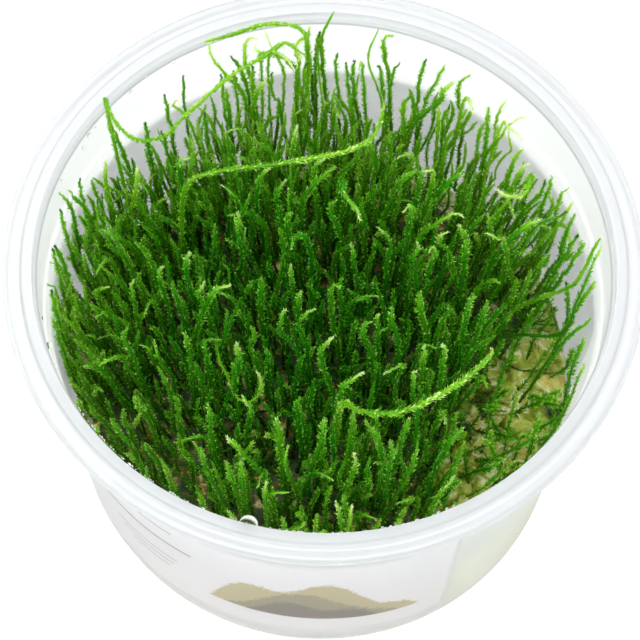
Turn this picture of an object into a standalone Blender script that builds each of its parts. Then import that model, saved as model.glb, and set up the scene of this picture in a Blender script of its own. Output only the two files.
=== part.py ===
"""A clump of upright water moss on a bed of agar gel, in a clear culture cup with a paper label.

The cup stands on its foot ring at z = 0, centred on the Z axis, with the label's printed
front towards -Y. The label leaves the wall bare at the front right, where the gel shows.
"""
import math
import random

import bmesh
import bpy
from mathutils import Vector, noise

MM = 0.001

# Driving sizes of the cup
RIM_RADIUS = 50 * MM
CUP_HEIGHT = 60 * MM
BASE_RADIUS = 39.7 * MM
DRAFT = math.radians(5.33)
WALL = 0.8 * MM
FOOT_HEIGHT = 1.2 * MM
FOOT_WIDTH = 1.3 * MM
STEP_HEIGHT = 48.4 * MM
STEP_OUT = 0.8 * MM
MOUTH_RADIUS = 45.4 * MM
LIP_RADIUS = 44.7 * MM
LIP_DEPTH = 2.2 * MM
CUP_SEGMENTS = 40

# Driving sizes of what the cup holds
GAP = 0.3 * MM
LABEL_BOTTOM = 3 * MM
LABEL_TOP = 44 * MM
LABEL_THICKNESS = 0.2 * MM
LABEL_START = math.radians(-5)
LABEL_SWEEP = math.radians(306)
GEL_TOP = 21.2 * MM
MAT_BOTTOM = 22.3 * MM
MAT_TOP = 40 * MM
CLEARING_AZIMUTH = math.radians(-22)
CLEARING_WIDTH = math.radians(34)
CLEARING_DEPTH = 15 * MM
SHOOT_COUNT = 280
SHOOT_RADIUS = 0.8 * MM
SHOOT_LENGTHS = (33 * MM, 38.5 * MM)
SHOOT_SPREAD = 39 * MM
SHOOT_ROOT_RISE = 13 * MM
LEAN_RIGHT = 0.34
LEAN_LEFT = 0.24
LEAN_BACK = 0.1
RUNNER_RADIUS = 0.7 * MM

# The free space over the bare gel, kept clear of shoots
FREE_LOW = Vector((29.5, -16, 26)) * MM
FREE_HIGH = Vector((36.5, -1, 62)) * MM

# Routes of the long stems, in millimetres, each from its foot in the mat to its growing tip
RUNNER_ROUTES = {
    "runner_across": [(-23.5, 13.5, 36), (-22.3, 13.8, 57), (-17.6, 14.7, 61), (-9, 15.7, 62),
                      (0.4, 17.8, 62), (5.9, 20.4, 61.5), (7.9, 24, 60.5), (8.8, 29, 59)],
    "runner_front": [(2.5, -20.5, 36), (3.2, -22.6, 56), (6.7, -26, 61), (12, -26.3, 62),
                     (18, -23.2, 62), (22.5, -19.8, 62), (25.6, -16.1, 61), (26, -14.2, 59.8)],
    "runner_left": [(-31.5, 20, 33), (-33.4, 21.5, 50), (-35.4, 26.6, 62), (-34, 23.6, 61.4),
                    (-31.7, 21.2, 60.6), (-29.2, 20.3, 60.4), (-25.4, 21.4, 60.6),
                    (-23.5, 23.8, 61), (-20.6, 26.9, 61.4), (-15.7, 31.7, 62),
                    (-11.9, 34.3, 62.4), (-10.1, 35.4, 62.6), (-8.7, 36.9, 63),
                    (-7.3, 37.4, 63.2), (-5.8, 36.6, 63), (-4.2, 36, 62)],
    "runner_back": [(-4.5, 32.5, 33), (-3.6, 37.5, 50), (-3.6, 38.2, 59.5), (-3.9, 39, 61.6),
                    (-4.6, 40.4, 62.3), (-6.6, 41.1, 62.6), (-10.6, 40.9, 63),
                    (-13.7, 39.4, 63.4), (-17.6, 37.7, 63.6), (-20, 36.9, 63.6)],
    "runner_back_tall": [(0.5, 33.5, 34), (-1.5, 38.2, 49), (-2, 40.6, 56), (-1.4, 41, 60),
                         (-0.4, 41.5, 63.5), (0.4, 41.7, 66)],
    "runner_back_right": [(9.2, 33, 34), (8.6, 34.5, 50), (6.1, 36.6, 60), (7.6, 39.8, 64.5)],
    "runner_right": [(29.5, 4.5, 33), (33, 4, 40), (38.9, 1.9, 50), (40.8, 2.5, 55.5),
                     (41.7, 3.3, 60), (42.6, 4.1, 62.5)],
}
RUNNER_STEP = 3.4 * MM


def outer_radius(height):
    """Outside radius of the sloping wall below the stacking step."""
    return BASE_RADIUS + math.tan(DRAFT) * height


def inner_radius(height):
    """Inside radius of the same wall."""
    return outer_radius(height) - WALL


def make_material(name, colour, roughness, transmission=0.0):
    """A Principled material of one colour."""
    material = bpy.data.materials.new(name)
    material.use_nodes = True
    shader = material.node_tree.nodes["Principled BSDF"]
    shader.inputs["Base Color"].default_value = (*colour, 1)
    shader.inputs["Roughness"].default_value = roughness
    shader.inputs["Metallic"].default_value = 0
    shader.inputs["Transmission Weight"].default_value = transmission
    return material


def make_collection(name):
    collection = bpy.data.collections.new(name)
    bpy.context.scene.collection.children.link(collection)
    return collection


def add_object(name, data, material, collection):
    part = bpy.data.objects.new(name, data)
    data.materials.append(material)
    collection.objects.link(part)
    return part


def profile_object(name, points, material, collection):
    """An open outline of (radius, height) points in the XZ plane."""
    mesh = bpy.data.meshes.new(name)
    edges = [(i, i + 1) for i in range(len(points) - 1)]
    mesh.from_pydata([(radius, 0, height) for radius, height in points], edges, [])
    return add_object(name, mesh, material, collection)


def turn(part, angle, steps):
    """Turn an outline about Z."""
    screw = part.modifiers.new("turned", "SCREW")
    screw.angle = angle
    screw.steps = steps
    screw.render_steps = steps
    screw.use_merge_vertices = True
    screw.merge_threshold = 0.01 * MM
    screw.use_smooth_shade = True
    return screw


def make_cup(material, collection):
    """The moulded cup: foot ring, sloping wall, stacking step, mouth and flat rim."""
    floor = FOOT_HEIGHT + WALL
    step_inner = inner_radius(STEP_HEIGHT)
    lip_height = CUP_HEIGHT - LIP_DEPTH
    rim_under = CUP_HEIGHT - 1.3 * MM
    points = [
        (0, floor),
        (inner_radius(floor) - 1.5 * MM, floor),
        (inner_radius(floor), floor + 1.5 * MM),
        (step_inner, STEP_HEIGHT - 0.3 * MM),
        (step_inner + STEP_OUT, STEP_HEIGHT + 0.3 * MM),
        (LIP_RADIUS, lip_height - 0.4 * MM),
        (MOUTH_RADIUS, lip_height),
        (MOUTH_RADIUS, CUP_HEIGHT - 0.4 * MM),
        (MOUTH_RADIUS + 0.4 * MM, CUP_HEIGHT),
        (MOUTH_RADIUS + 1.4 * MM, CUP_HEIGHT),
        (MOUTH_RADIUS + 1.8 * MM, CUP_HEIGHT - 0.5 * MM),
        (MOUTH_RADIUS + 2.6 * MM, CUP_HEIGHT - 0.5 * MM),
        (MOUTH_RADIUS + 3 * MM, CUP_HEIGHT - 0.1 * MM),
        (RIM_RADIUS - 0.4 * MM, CUP_HEIGHT - 0.1 * MM),
        (RIM_RADIUS, CUP_HEIGHT - 0.6 * MM),
        (RIM_RADIUS, CUP_HEIGHT - 1.9 * MM),
        (RIM_RADIUS - 0.7 * MM, CUP_HEIGHT - 1.9 * MM),
        (RIM_RADIUS - 0.9 * MM, rim_under),
        (LIP_RADIUS + WALL + 0.6 * MM, rim_under),
        (LIP_RADIUS + WALL, rim_under - 0.8 * MM),
        (step_inner + STEP_OUT + WALL, STEP_HEIGHT - 0.4 * MM),
        (outer_radius(STEP_HEIGHT - 1.2 * MM), STEP_HEIGHT - 1.2 * MM),
        (outer_radius(1 * MM), 1 * MM),
        (BASE_RADIUS - 0.3 * MM, 0),
        (BASE_RADIUS - 0.3 * MM - FOOT_WIDTH, 0),
        (BASE_RADIUS - 0.7 * MM - FOOT_WIDTH, FOOT_HEIGHT),
        (0, FOOT_HEIGHT),
    ]
    cup = profile_object("cup", points, material, collection)
    turn(cup, math.tau, CUP_SEGMENTS)
    return cup


def make_label(material, collection):
    """The label, a sleeve round the wall with one open stretch."""
    stand_off = GAP + 0.05 * MM
    points = [(outer_radius(height) + stand_off, height) for height in (LABEL_TOP, LABEL_BOTTOM)]
    label = profile_object("label", points, material, collection)
    turn(label, LABEL_SWEEP, round(CUP_SEGMENTS * LABEL_SWEEP / math.tau))
    thicken = label.modifiers.new("paper", "SOLIDIFY")
    thicken.thickness = LABEL_THICKNESS
    thicken.offset = 1
    label.rotation_euler.z = LABEL_START
    return label


def clearing(azimuth):
    """How far the moss stands back from the wall at the front right, from 0 to 1."""
    turned = math.remainder(azimuth - CLEARING_AZIMUTH, math.tau)
    return math.exp(-((turned / CLEARING_WIDTH) ** 4))


def gel_side(level):
    """Height of the gel's side rings, the lowest ones close to the cup's floor."""
    bottom = FOOT_HEIGHT + WALL + GAP
    return bottom + level ** 3 * (GEL_TOP - bottom)


def gel_outline(azimuth, level):
    """The gel is cast against the wall, and keeps clear of the rounded corner of the floor."""
    corner = 1.6 * MM if level < 0.1 else 0
    return inner_radius(gel_side(level)) - 2 * GAP - corner


def gel_height(x, y, level):
    """Top and underside of the gel: nearly flat under the moss, lumpy in the clearing."""
    if level < 1:
        return gel_side(level)
    ripple = noise.noise(Vector((x, y, 0)) * 110) * 0.5 * MM
    past_mat = math.hypot(x, y) - mat_outline(math.atan2(y, x), 0) - 1.5 * MM
    bare = max(0, min(1, past_mat / (4 * MM)))
    lump = (noise.noise(Vector((x, y, 7 * MM)) * 210) + 0.55) * 3 * MM
    return GEL_TOP + ripple + bare * lump


def mat_outline(azimuth, level):
    """The mat fills the cup, less at the back, and stands back from the wall in the clearing."""
    height = MAT_BOTTOM + level * (MAT_TOP - MAT_BOTTOM)
    back = 3.5 * MM * max(0, math.sin(azimuth)) ** 2
    wobble = noise.noise(Vector((math.cos(azimuth), math.sin(azimuth), level)) * 3) * 1.2 * MM
    cut = (CLEARING_DEPTH + 2 * MM * level) * clearing(azimuth)
    return inner_radius(height) - 1.7 * MM - back - cut + wobble


def mat_height(x, y, level):
    """Flat underside, and a hummocky top that falls away towards its edge."""
    if level < 1:
        return MAT_BOTTOM + level * (MAT_TOP - 5 * MM - MAT_BOTTOM)
    reach = math.hypot(x, y) / mat_outline(math.atan2(y, x), 1)
    hummocks = noise.noise(Vector((x, y, 0)) * 120) * 3 * MM
    return MAT_TOP + hummocks - 5 * MM * reach ** 6


def make_bed(name, outline, height, segments, material, collection):
    """A closed bed: a sphere's rings drawn out into a top, a side and a flat underside."""
    rings = 16
    top_share = 10 / rings
    side_share = 2 / rings
    bed = bmesh.new()
    bmesh.ops.create_uvsphere(bed, u_segments=segments, v_segments=rings, radius=1)
    for vertex in bed.verts:
        azimuth = math.atan2(vertex.co.y, vertex.co.x)
        polar = math.acos(max(-1, min(1, vertex.co.z))) / math.pi
        level = 1 - max(0, min(1, (polar - top_share) / side_share))
        reach = min(1, polar / top_share)
        if polar > top_share + side_share:
            reach = (1 - polar) / (1 - top_share - side_share)
        radius = reach * outline(azimuth, level)
        x = radius * math.cos(azimuth)
        y = radius * math.sin(azimuth)
        on_top = 1 if polar < top_share + 0.001 else level
        vertex.co = (x, y, height(x, y, on_top))
    mesh = bpy.data.meshes.new(name)
    bed.to_mesh(mesh)
    bed.free()
    mesh.shade_smooth()
    return add_object(name, mesh, material, collection)


def smooth_route(points):
    """Evenly spaced points on a smooth curve through the given ones."""
    padded = [2 * points[0] - points[1], *points, 2 * points[-1] - points[-2]]
    route = []
    for before, start, end, after in zip(padded, padded[1:], padded[2:], padded[3:]):
        pieces = max(1, round((end - start).length / RUNNER_STEP))
        for piece in range(pieces):
            t = piece / pieces
            bend = (end - before) * t + (2 * before - 5 * start + 4 * end - after) * t ** 2
            route.append(start + 0.5 * (bend + (3 * start - before - 3 * end + after) * t ** 3))
    route.append(points[-1])
    return route


def stem_curve(name, routes, radius, sides_level, slenderness, material, collection):
    """Tapered round stems with closed ends, one spline for each route."""
    curve = bpy.data.curves.new(name, "CURVE")
    curve.dimensions = "3D"
    curve.bevel_depth = radius
    curve.bevel_resolution = sides_level
    curve.use_fill_caps = True
    for route in routes:
        spline = curve.splines.new("POLY")
        spline.points.add(len(route) - 1)
        for index, place in enumerate(route):
            spline.points[index].co = (*place, 1)
            spline.points[index].radius = 1 - slenderness * index / (len(route) - 1)
    return add_object(name, curve, material, collection)


def as_mesh(curve_object, collection):
    """The same stems as one mesh whose caps are joined to their sides."""
    evaluated = curve_object.evaluated_get(bpy.context.evaluated_depsgraph_get())
    mesh = bpy.data.meshes.new_from_object(evaluated)
    stems = bmesh.new()
    stems.from_mesh(mesh)
    bmesh.ops.remove_doubles(stems, verts=stems.verts, dist=0.01 * MM)
    stems.to_mesh(mesh)
    stems.free()
    solid = bpy.data.objects.new(curve_object.name + "_solid", mesh)
    solid.matrix_world = curve_object.matrix_world
    collection.objects.link(solid)
    bpy.data.objects.remove(curve_object)
    solid.hide_render = True
    solid.display_type = "WIRE"
    return solid


def combine(part, other, operation):
    """Join another solid to a part, or cut it away."""
    change = part.modifiers.new(other.name, "BOOLEAN")
    change.object = other
    change.operation = operation
    change.solver = "EXACT"
    change.use_self = operation == "UNION"


def in_free_space(place):
    margin = 2 * SHOOT_RADIUS
    return all(low - margin < value < high + margin
               for low, value, high in zip(FREE_LOW, place, FREE_HIGH))


def near_runner(place, runner_points):
    limit = 2 * (SHOOT_RADIUS + RUNNER_RADIUS)
    return any((place - point).length < limit for point in runner_points)


def pull_in(place, limit):
    """Bring a point that lies beyond a radius back to it."""
    beyond = max(1, math.hypot(place.x, place.y) / limit)
    return Vector((place.x / beyond, place.y / beyond, place.z))


def shoot_routes(runner_points):
    """Shoots rooted in a sunflower pattern, thin in the clearing and fanning outwards."""
    draw = random.Random(11)
    golden_angle = math.pi * (3 - math.sqrt(5))
    routes = []
    for number in range(SHOOT_COUNT):
        azimuth = number * golden_angle
        reach = math.sqrt((number + 0.5) / SHOOT_COUNT) * SHOOT_SPREAD
        reach += draw.uniform(-0.9, 0.9) * MM
        stray_x = draw.uniform(-0.05, 0.05)
        stray_y = draw.uniform(-0.05, 0.05)
        length = draw.uniform(*SHOOT_LENGTHS) - 2 * MM * (reach / (40 * MM)) ** 2
        back = 3.5 * MM * max(0, math.sin(azimuth)) ** 2
        if reach > SHOOT_SPREAD - back - CLEARING_DEPTH * clearing(azimuth):
            continue
        foot = Vector((reach * math.cos(azimuth), reach * math.sin(azimuth), GEL_TOP))
        place = Vector((foot.x, foot.y, 0)) / (9 * MM)
        lean_side = LEAN_RIGHT if foot.x > 0 else LEAN_LEFT
        lean_x = lean_side * foot.x / (40 * MM) + 0.1 * noise.noise(place + Vector((0, 0, 3)))
        lean_y = LEAN_BACK * foot.y / (40 * MM) + 0.1 * noise.noise(place + Vector((0, 0, 9)))
        heading = Vector((lean_x + stray_x, lean_y + stray_y, 1)).normalized()
        root = foot + heading * SHOOT_ROOT_RISE
        root = pull_in(root, mat_outline(azimuth, 0.6) - 1.5 * MM)
        tip = foot + heading * length
        tip = pull_in(tip, inner_radius(min(tip.z, STEP_HEIGHT)) - SHOOT_RADIUS - GAP)
        checked = [root.lerp(tip, step / 6) for step in range(7)]
        if any(in_free_space(p) or near_runner(p, runner_points) for p in checked):
            continue
        routes.append([root, tip])
    return routes


def make_moss(runner_routes, material, collection, cutters):
    """The mat with its shoots grown together, and pockets where the long stems root in it."""
    mat = make_bed("moss_mat", mat_outline, mat_height, 36, material, collection)
    runner_points = [point for route in runner_routes.values() for point in route]
    shoots = stem_curve("shoots", shoot_routes(runner_points), SHOOT_RADIUS, 0, 0.5,
                        material, cutters)
    combine(mat, as_mesh(shoots, cutters), "UNION")
    for name, route in runner_routes.items():
        foot = [route[0] - (route[1] - route[0]).normalized() * GAP, *route[1:]]
        pocket = stem_curve(name + "_pocket", [foot], RUNNER_RADIUS + 1.5 * GAP, 1, 0,
                            material, cutters)
        combine(mat, as_mesh(pocket, cutters), "DIFFERENCE")
    return mat


def build():
    for old in list(bpy.data.objects):
        bpy.data.objects.remove(old)
    parts = make_collection("moss clump")
    cutters = make_collection("moss clump cutters")

    clear_plastic = make_material("clear plastic", (0.86, 0.88, 0.88), 0.18, 0.8)
    label_paper = make_material("label paper", (0.79, 0.78, 0.8), 0.6)
    agar = make_material("agar gel", (0.62, 0.62, 0.42), 0.15, 0.5)
    moss = make_material("moss", (0.05, 0.25, 0.02), 0.55)
    young_moss = make_material("young moss", (0.22, 0.5, 0.05), 0.5)

    make_cup(clear_plastic, parts)
    make_label(label_paper, parts)
    make_bed("gel", gel_outline, gel_height, 32, agar, parts)
    runner_routes = {name: smooth_route([Vector(point) * MM for point in points])
                     for name, points in RUNNER_ROUTES.items()}
    make_moss(runner_routes, moss, parts, cutters)
    for name, route in runner_routes.items():
        stem_curve(name, [route], RUNNER_RADIUS, 1, 0.35, young_moss, parts)


build()
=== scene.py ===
"""Looks of a clump of upright water moss that grows on agar gel in a clear culture cup."""
import math
import random

import bmesh
import bpy
import numpy as np
from mathutils import Matrix, Vector, noise


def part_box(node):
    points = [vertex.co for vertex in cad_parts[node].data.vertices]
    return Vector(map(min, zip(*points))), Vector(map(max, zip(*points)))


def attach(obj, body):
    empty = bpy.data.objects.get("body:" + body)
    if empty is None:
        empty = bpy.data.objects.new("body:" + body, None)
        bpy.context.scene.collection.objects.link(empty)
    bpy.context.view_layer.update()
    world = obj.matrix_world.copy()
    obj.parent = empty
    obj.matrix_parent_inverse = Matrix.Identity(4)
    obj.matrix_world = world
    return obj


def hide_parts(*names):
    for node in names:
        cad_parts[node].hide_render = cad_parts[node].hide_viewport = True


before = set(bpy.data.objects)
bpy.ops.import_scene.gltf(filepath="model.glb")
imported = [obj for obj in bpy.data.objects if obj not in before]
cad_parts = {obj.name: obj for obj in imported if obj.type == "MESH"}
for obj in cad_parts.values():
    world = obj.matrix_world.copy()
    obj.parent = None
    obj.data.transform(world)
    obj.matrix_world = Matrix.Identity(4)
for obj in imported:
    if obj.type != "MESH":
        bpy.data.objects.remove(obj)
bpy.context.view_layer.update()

# The cup
# Clear polypropylene, injection moulded in one piece: a sloping wall on a foot ring, a stacking
# step, and a flat rim with a groove that the lid's edge snaps into.
MM = 0.001
cup_low, cup_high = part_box("cup")
RIM_RADIUS = cup_high.x
CUP_HEIGHT = cup_high.z
BASE_RADIUS = 39.7 * MM
WALL_SLOPE = math.tan(math.radians(5.33))
WALL = 0.8 * MM
FOOT_HEIGHT = 1.2 * MM
FOOT_WIDTH = 1.3 * MM
STEP_HEIGHT = 48.4 * MM
STEP_OUT = 0.8 * MM
MOUTH_RADIUS = 45.4 * MM
LIP_RADIUS = 44.7 * MM
LIP_HEIGHT = CUP_HEIGHT - 2.2 * MM


def inner_radius(height):
    """Inside radius of the sloping wall below the stacking step."""
    return BASE_RADIUS + WALL_SLOPE * height - WALL


def rounded(corners, steps=5):
    """Points of an outline through (radius, height, rounding) corners."""
    points = []
    for index, (radius, height, rounding) in enumerate(corners):
        corner = Vector((radius, height))
        if rounding == 0:
            points.append(corner)
            continue
        back = Vector(corners[index - 1][:2]) - corner
        on = Vector(corners[index + 1][:2]) - corner
        start = corner + back.normalized() * min(rounding, 0.45 * back.length)
        end = corner + on.normalized() * min(rounding, 0.45 * on.length)
        for step in range(steps + 1):
            t = step / steps
            points.append(start * (1 - t) ** 2 + corner * 2 * t * (1 - t) + end * t ** 2)
    return points


def turned(name, outline, steps):
    """A piece turned about Z from an outline that runs down its outer side."""
    mesh = bpy.data.meshes.new(name)
    edges = [(i, i + 1) for i in range(len(outline) - 1)]
    mesh.from_pydata([(point.x, 0, point.y) for point in outline], edges, [])
    piece = bpy.data.objects.new(name, mesh)
    bpy.context.collection.objects.link(piece)
    screw = piece.modifiers.new("turned", "SCREW")
    screw.steps = steps
    screw.render_steps = steps
    screw.use_merge_vertices = True
    screw.merge_threshold = 0.01 * MM
    return piece


def linear(hex_colour):
    """A colour written as sRGB hex, as linear RGBA."""
    values = [int(hex_colour[i:i + 2], 16) / 255 for i in (1, 3, 5)]
    values = [v / 12.92 if v <= 0.04045 else ((v + 0.055) / 1.055) ** 2.4 for v in values]
    return (*values, 1)


def add_node(material, kind, inputs, **settings):
    """Add one shader node with its settings, and its inputs as values or links."""
    tree = material.node_tree
    node = tree.nodes.new(kind)
    for name, value in settings.items():
        setattr(node, name, value)
    for name, value in inputs.items():
        if isinstance(value, bpy.types.NodeSocket):
            tree.links.new(value, node.inputs[name])
        else:
            node.inputs[name].default_value = value
    return node


def new_material(name):
    """An empty material with its Principled shader."""
    material = bpy.data.materials.new(name)
    material.use_nodes = True
    return material, material.node_tree.nodes["Principled BSDF"]


def set_inputs(shader, **values):
    for name, value in values.items():
        shader.inputs[name.replace("_", " ")].default_value = value


def colour_ramp(material, value, stops):
    """A ramp of (colour, place) stops read at a value from 0 to 1."""
    ramp = add_node(material, "ShaderNodeValToRGB", {"Fac": value})
    elements = ramp.color_ramp.elements
    while len(elements) < len(stops):
        elements.new(0.5)
    for element, (colour, where) in zip(elements, stops):
        element.position = where
        element.color = linear(colour)
    return ramp.outputs["Color"]


floor_height = FOOT_HEIGHT + WALL
step_inner = inner_radius(STEP_HEIGHT)
rim_under = CUP_HEIGHT - 1.3 * MM
cup = turned("culture_cup", rounded([
    (0, floor_height, 0),
    (inner_radius(floor_height), floor_height, 1.5 * MM),
    (step_inner, STEP_HEIGHT - 0.3 * MM, 0.4 * MM),
    (step_inner + STEP_OUT, STEP_HEIGHT + 0.3 * MM, 0.4 * MM),
    (LIP_RADIUS, LIP_HEIGHT - 0.4 * MM, 0.3 * MM),
    (MOUTH_RADIUS, LIP_HEIGHT, 0.3 * MM),
    (MOUTH_RADIUS, CUP_HEIGHT, 0.45 * MM),
    (MOUTH_RADIUS + 1.6 * MM, CUP_HEIGHT, 0.4 * MM),
    (MOUTH_RADIUS + 1.9 * MM, CUP_HEIGHT - 0.5 * MM, 0.3 * MM),
    (MOUTH_RADIUS + 2.6 * MM, CUP_HEIGHT - 0.5 * MM, 0.3 * MM),
    (MOUTH_RADIUS + 3 * MM, CUP_HEIGHT - 0.1 * MM, 0.3 * MM),
    (RIM_RADIUS, CUP_HEIGHT - 0.1 * MM, 0.6 * MM),
    (RIM_RADIUS, CUP_HEIGHT - 1.9 * MM, 0.3 * MM),
    (RIM_RADIUS - 0.7 * MM, CUP_HEIGHT - 1.9 * MM, 0.2 * MM),
    (RIM_RADIUS - 0.9 * MM, rim_under, 0.3 * MM),
    (LIP_RADIUS + WALL, rim_under, 0.3 * MM),
    (step_inner + STEP_OUT + WALL, STEP_HEIGHT - 0.4 * MM, 0.4 * MM),
    (step_inner + WALL, STEP_HEIGHT - 1.2 * MM, 0.4 * MM),
    (BASE_RADIUS, 0, 0.6 * MM),
    (BASE_RADIUS - 0.3 * MM - FOOT_WIDTH, 0, 0.2 * MM),
    (BASE_RADIUS - 0.7 * MM - FOOT_WIDTH, FOOT_HEIGHT, 0.3 * MM),
    (0, FOOT_HEIGHT, 0),
]), 192)

# Natural polypropylene, moulded in a polished tool: clear, with a milky cast that whitens where
# the wall is seen edge on, and a soft gloss. The thin grey lines round the step and the mouth are
# painted shade for the dark edges that refraction draws there, and the rim is greyed as painted shade.
polypropylene, shader = new_material("natural_polypropylene")
place = add_node(polypropylene, "ShaderNodeTexCoord", {})
split = add_node(polypropylene, "ShaderNodeSeparateXYZ", {"Vector": place.outputs["Object"]})
level = add_node(polypropylene, "ShaderNodeMapRange", {"Value": split.outputs["Z"],
                                                       "From Max": CUP_HEIGHT})
step_at, mouth_at = STEP_HEIGHT / CUP_HEIGHT, (LIP_HEIGHT - 0.35 * MM) / CUP_HEIGHT
fine = 0.09 * MM / CUP_HEIGHT
# The grey stops at the step and the mouth, and the greyer rim above the mouth, are painted shade.
tint_and_painted_shade = colour_ramp(polypropylene, level.outputs["Result"], (
    ("#fcfdfd", 0), ("#fcfdfd", step_at - fine), ("#8d9196", step_at), ("#fcfdfd", step_at + fine),
    ("#fcfdfd", mouth_at - 2 * fine), ("#9a9ea4", mouth_at), ("#eceeef", mouth_at + 2 * fine),
    ("#e7e9eb", 1)))
polypropylene.node_tree.links.new(tint_and_painted_shade, shader.inputs["Base Color"])
set_inputs(shader, Roughness=0.28, IOR=1.49, Transmission_Weight=0.84)
milky = add_node(polypropylene, "ShaderNodeBsdfTranslucent", {"Color": tint_and_painted_shade})
cup_surface = add_node(polypropylene, "ShaderNodeMixShader", {0: 0.35, 1: shader.outputs[0],
                                                              2: milky.outputs[0]})
polypropylene.node_tree.links.new(cup_surface.outputs[0],
                                  polypropylene.node_tree.nodes["Material Output"].inputs["Surface"])
cup.data.materials.append(polypropylene)
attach(cup, "root")
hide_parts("cup")

# The label
# A wrap of white polypropylene film, printed and glued round the wall, cut off square where it
# leaves the wall bare at the front right.
LABEL_BOTTOM = 4.7 * MM
LABEL_TOP = 44 * MM
LABEL_STAND_OFF = 0.35 * MM
LABEL_THICKNESS = 0.16 * MM
LABEL_START = math.radians(-5)
LABEL_SWEEP = math.radians(306)
label_mesh = bpy.data.meshes.new("wrap_label")
label_bm = bmesh.new()
across, up = 200, 10
label_uv = label_bm.loops.layers.uv.new("print_place")
bmesh.ops.create_grid(label_bm, x_segments=across, y_segments=up, size=0.5)
for face in label_bm.faces:
    for loop in face.loops:
        turn = (loop.vert.co.x + 0.5) * LABEL_SWEEP + LABEL_START
        from_front = turn - math.radians(270)
        height = LABEL_BOTTOM + (loop.vert.co.y + 0.5) * (LABEL_TOP - LABEL_BOTTOM)
        loop[label_uv].uv = (from_front * 42, height / MM)
for vertex in label_bm.verts:
    turn = (vertex.co.x + 0.5) * LABEL_SWEEP + LABEL_START
    height = LABEL_BOTTOM + (vertex.co.y + 0.5) * (LABEL_TOP - LABEL_BOTTOM)
    radius = inner_radius(height) + WALL + LABEL_STAND_OFF
    vertex.co = (radius * math.cos(turn), radius * math.sin(turn), height)
label_bm.to_mesh(label_mesh)
label_bm.free()
label_mesh.shade_smooth()
label = bpy.data.objects.new("wrap_label", label_mesh)
bpy.context.collection.objects.link(label)
film = label.modifiers.new("film", "SOLIDIFY")
film.thickness = LABEL_THICKNESS
film.offset = 1

# White printed film, calendered and varnished: an even satin white, with fine grey rules and a
# plain picture of low hills in washed-out khaki, grey and mauve printed on its front.
printed_film, shader = new_material("printed_film")
place = add_node(printed_film, "ShaderNodeUVMap", {}, uv_map="print_place")
split = add_node(printed_film, "ShaderNodeSeparateXYZ", {"Vector": place.outputs["UV"]})
sideways, upwards = split.outputs["X"], split.outputs["Y"]


def calculate(material, operation, *values):
    """The output of one Math node."""
    return add_node(material, "ShaderNodeMath", dict(enumerate(values)),
                    operation=operation).outputs[0]


def between(value, low, high):
    """1 where a value on the label lies between two limits."""
    middle = calculate(printed_film, "SUBTRACT", value, (low + high) / 2)
    away = calculate(printed_film, "ABSOLUTE", middle)
    return calculate(printed_film, "LESS_THAN", away, (high - low) / 2)


ink = linear("#f8f7f9")
grain = add_node(printed_film, "ShaderNodeTexNoise", {"Vector": place.outputs["UV"], "Scale": 0.9,
                                                      "Detail": 8, "Roughness": 0.85})
grain_push = calculate(printed_film, "MULTIPLY", grain.outputs["Fac"], 11.0)
from_middle = calculate(printed_film, "ADD", sideways, 1.5)
mound = calculate(printed_film, "MULTIPLY", from_middle, from_middle)
mound = calculate(printed_film, "MULTIPLY_ADD", mound, -0.055, grain_push)
foot = calculate(printed_film, "MULTIPLY_ADD", from_middle, -0.03, 14.6)
above_foot = calculate(printed_film, "GREATER_THAN", upwards, foot)
for colour, rise, swing, wave, start in (("#e0d9be", 31.5, 2.6, 0.42, 0.5),
                                         ("#c9c4ae", 26.0, 2.0, 0.33, 2.4),
                                         ("#b4afa6", 21.5, 1.5, 0.5, 4.0),
                                         ("#bfaeb0", 15.6, 0.8, 0.27, 1.0)):
    turned_by = calculate(printed_film, "MULTIPLY_ADD", sideways, wave, start)
    ridge = calculate(printed_film, "MULTIPLY_ADD",
                      calculate(printed_film, "SINE", turned_by), swing, rise - 5.5)
    ridge = calculate(printed_film, "ADD", ridge, mound)
    under = calculate(printed_film, "MULTIPLY",
                      calculate(printed_film, "LESS_THAN", upwards, ridge), above_foot)
    ink = add_node(printed_film, "ShaderNodeMix", {0: under, 6: ink, 7: linear(colour)},
                   data_type="RGBA").outputs[2]
for left, end, height, thick in ((-39, -23, 38, 0.18), (-37, -20, 31.5, 0.3), (-36, -23, 24, 0.15),
                                 (-35, -24, 21.5, 0.15), (-33, -25, 19, 0.15)):
    rule = calculate(printed_film, "MULTIPLY", between(sideways, left, end),
                     between(upwards, height - thick, height + thick))
    ink = add_node(printed_film, "ShaderNodeMix", {0: rule, 6: ink, 7: linear("#b9b8bc")},
                   data_type="RGBA").outputs[2]
printed_film.node_tree.links.new(ink, shader.inputs["Base Color"])
set_inputs(shader, Roughness=0.42, IOR=1.49)
through = add_node(printed_film, "ShaderNodeBsdfTranslucent", {"Color": ink})
film_surface = add_node(printed_film, "ShaderNodeMixShader", {0: 0.69, 1: shader.outputs[0],
                                                              2: through.outputs[0]})
printed_film.node_tree.links.new(film_surface.outputs[0],
                                 printed_film.node_tree.nodes["Material Output"].inputs["Surface"])
label_mesh.materials.append(printed_film)
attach(label, "root")
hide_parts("label")

# The gel
# Agar gel, poured hot and set in the cup, flat under the moss and broken into wet lumps where it
# lies bare at the front right.
GEL_TOP = 21.2 * MM
CLEARING_AZIMUTH = math.radians(-22)
CLEARING_WIDTH = math.radians(34)
CLEARING_DEPTH = 15 * MM
draw = np.random.default_rng(5)


def clearing(azimuth):
    """How far the moss stands back from the wall at the front right, from 0 to 1."""
    turned_by = math.remainder(azimuth - CLEARING_AZIMUTH, math.tau)
    return math.exp(-((turned_by / CLEARING_WIDTH) ** 4))


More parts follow.
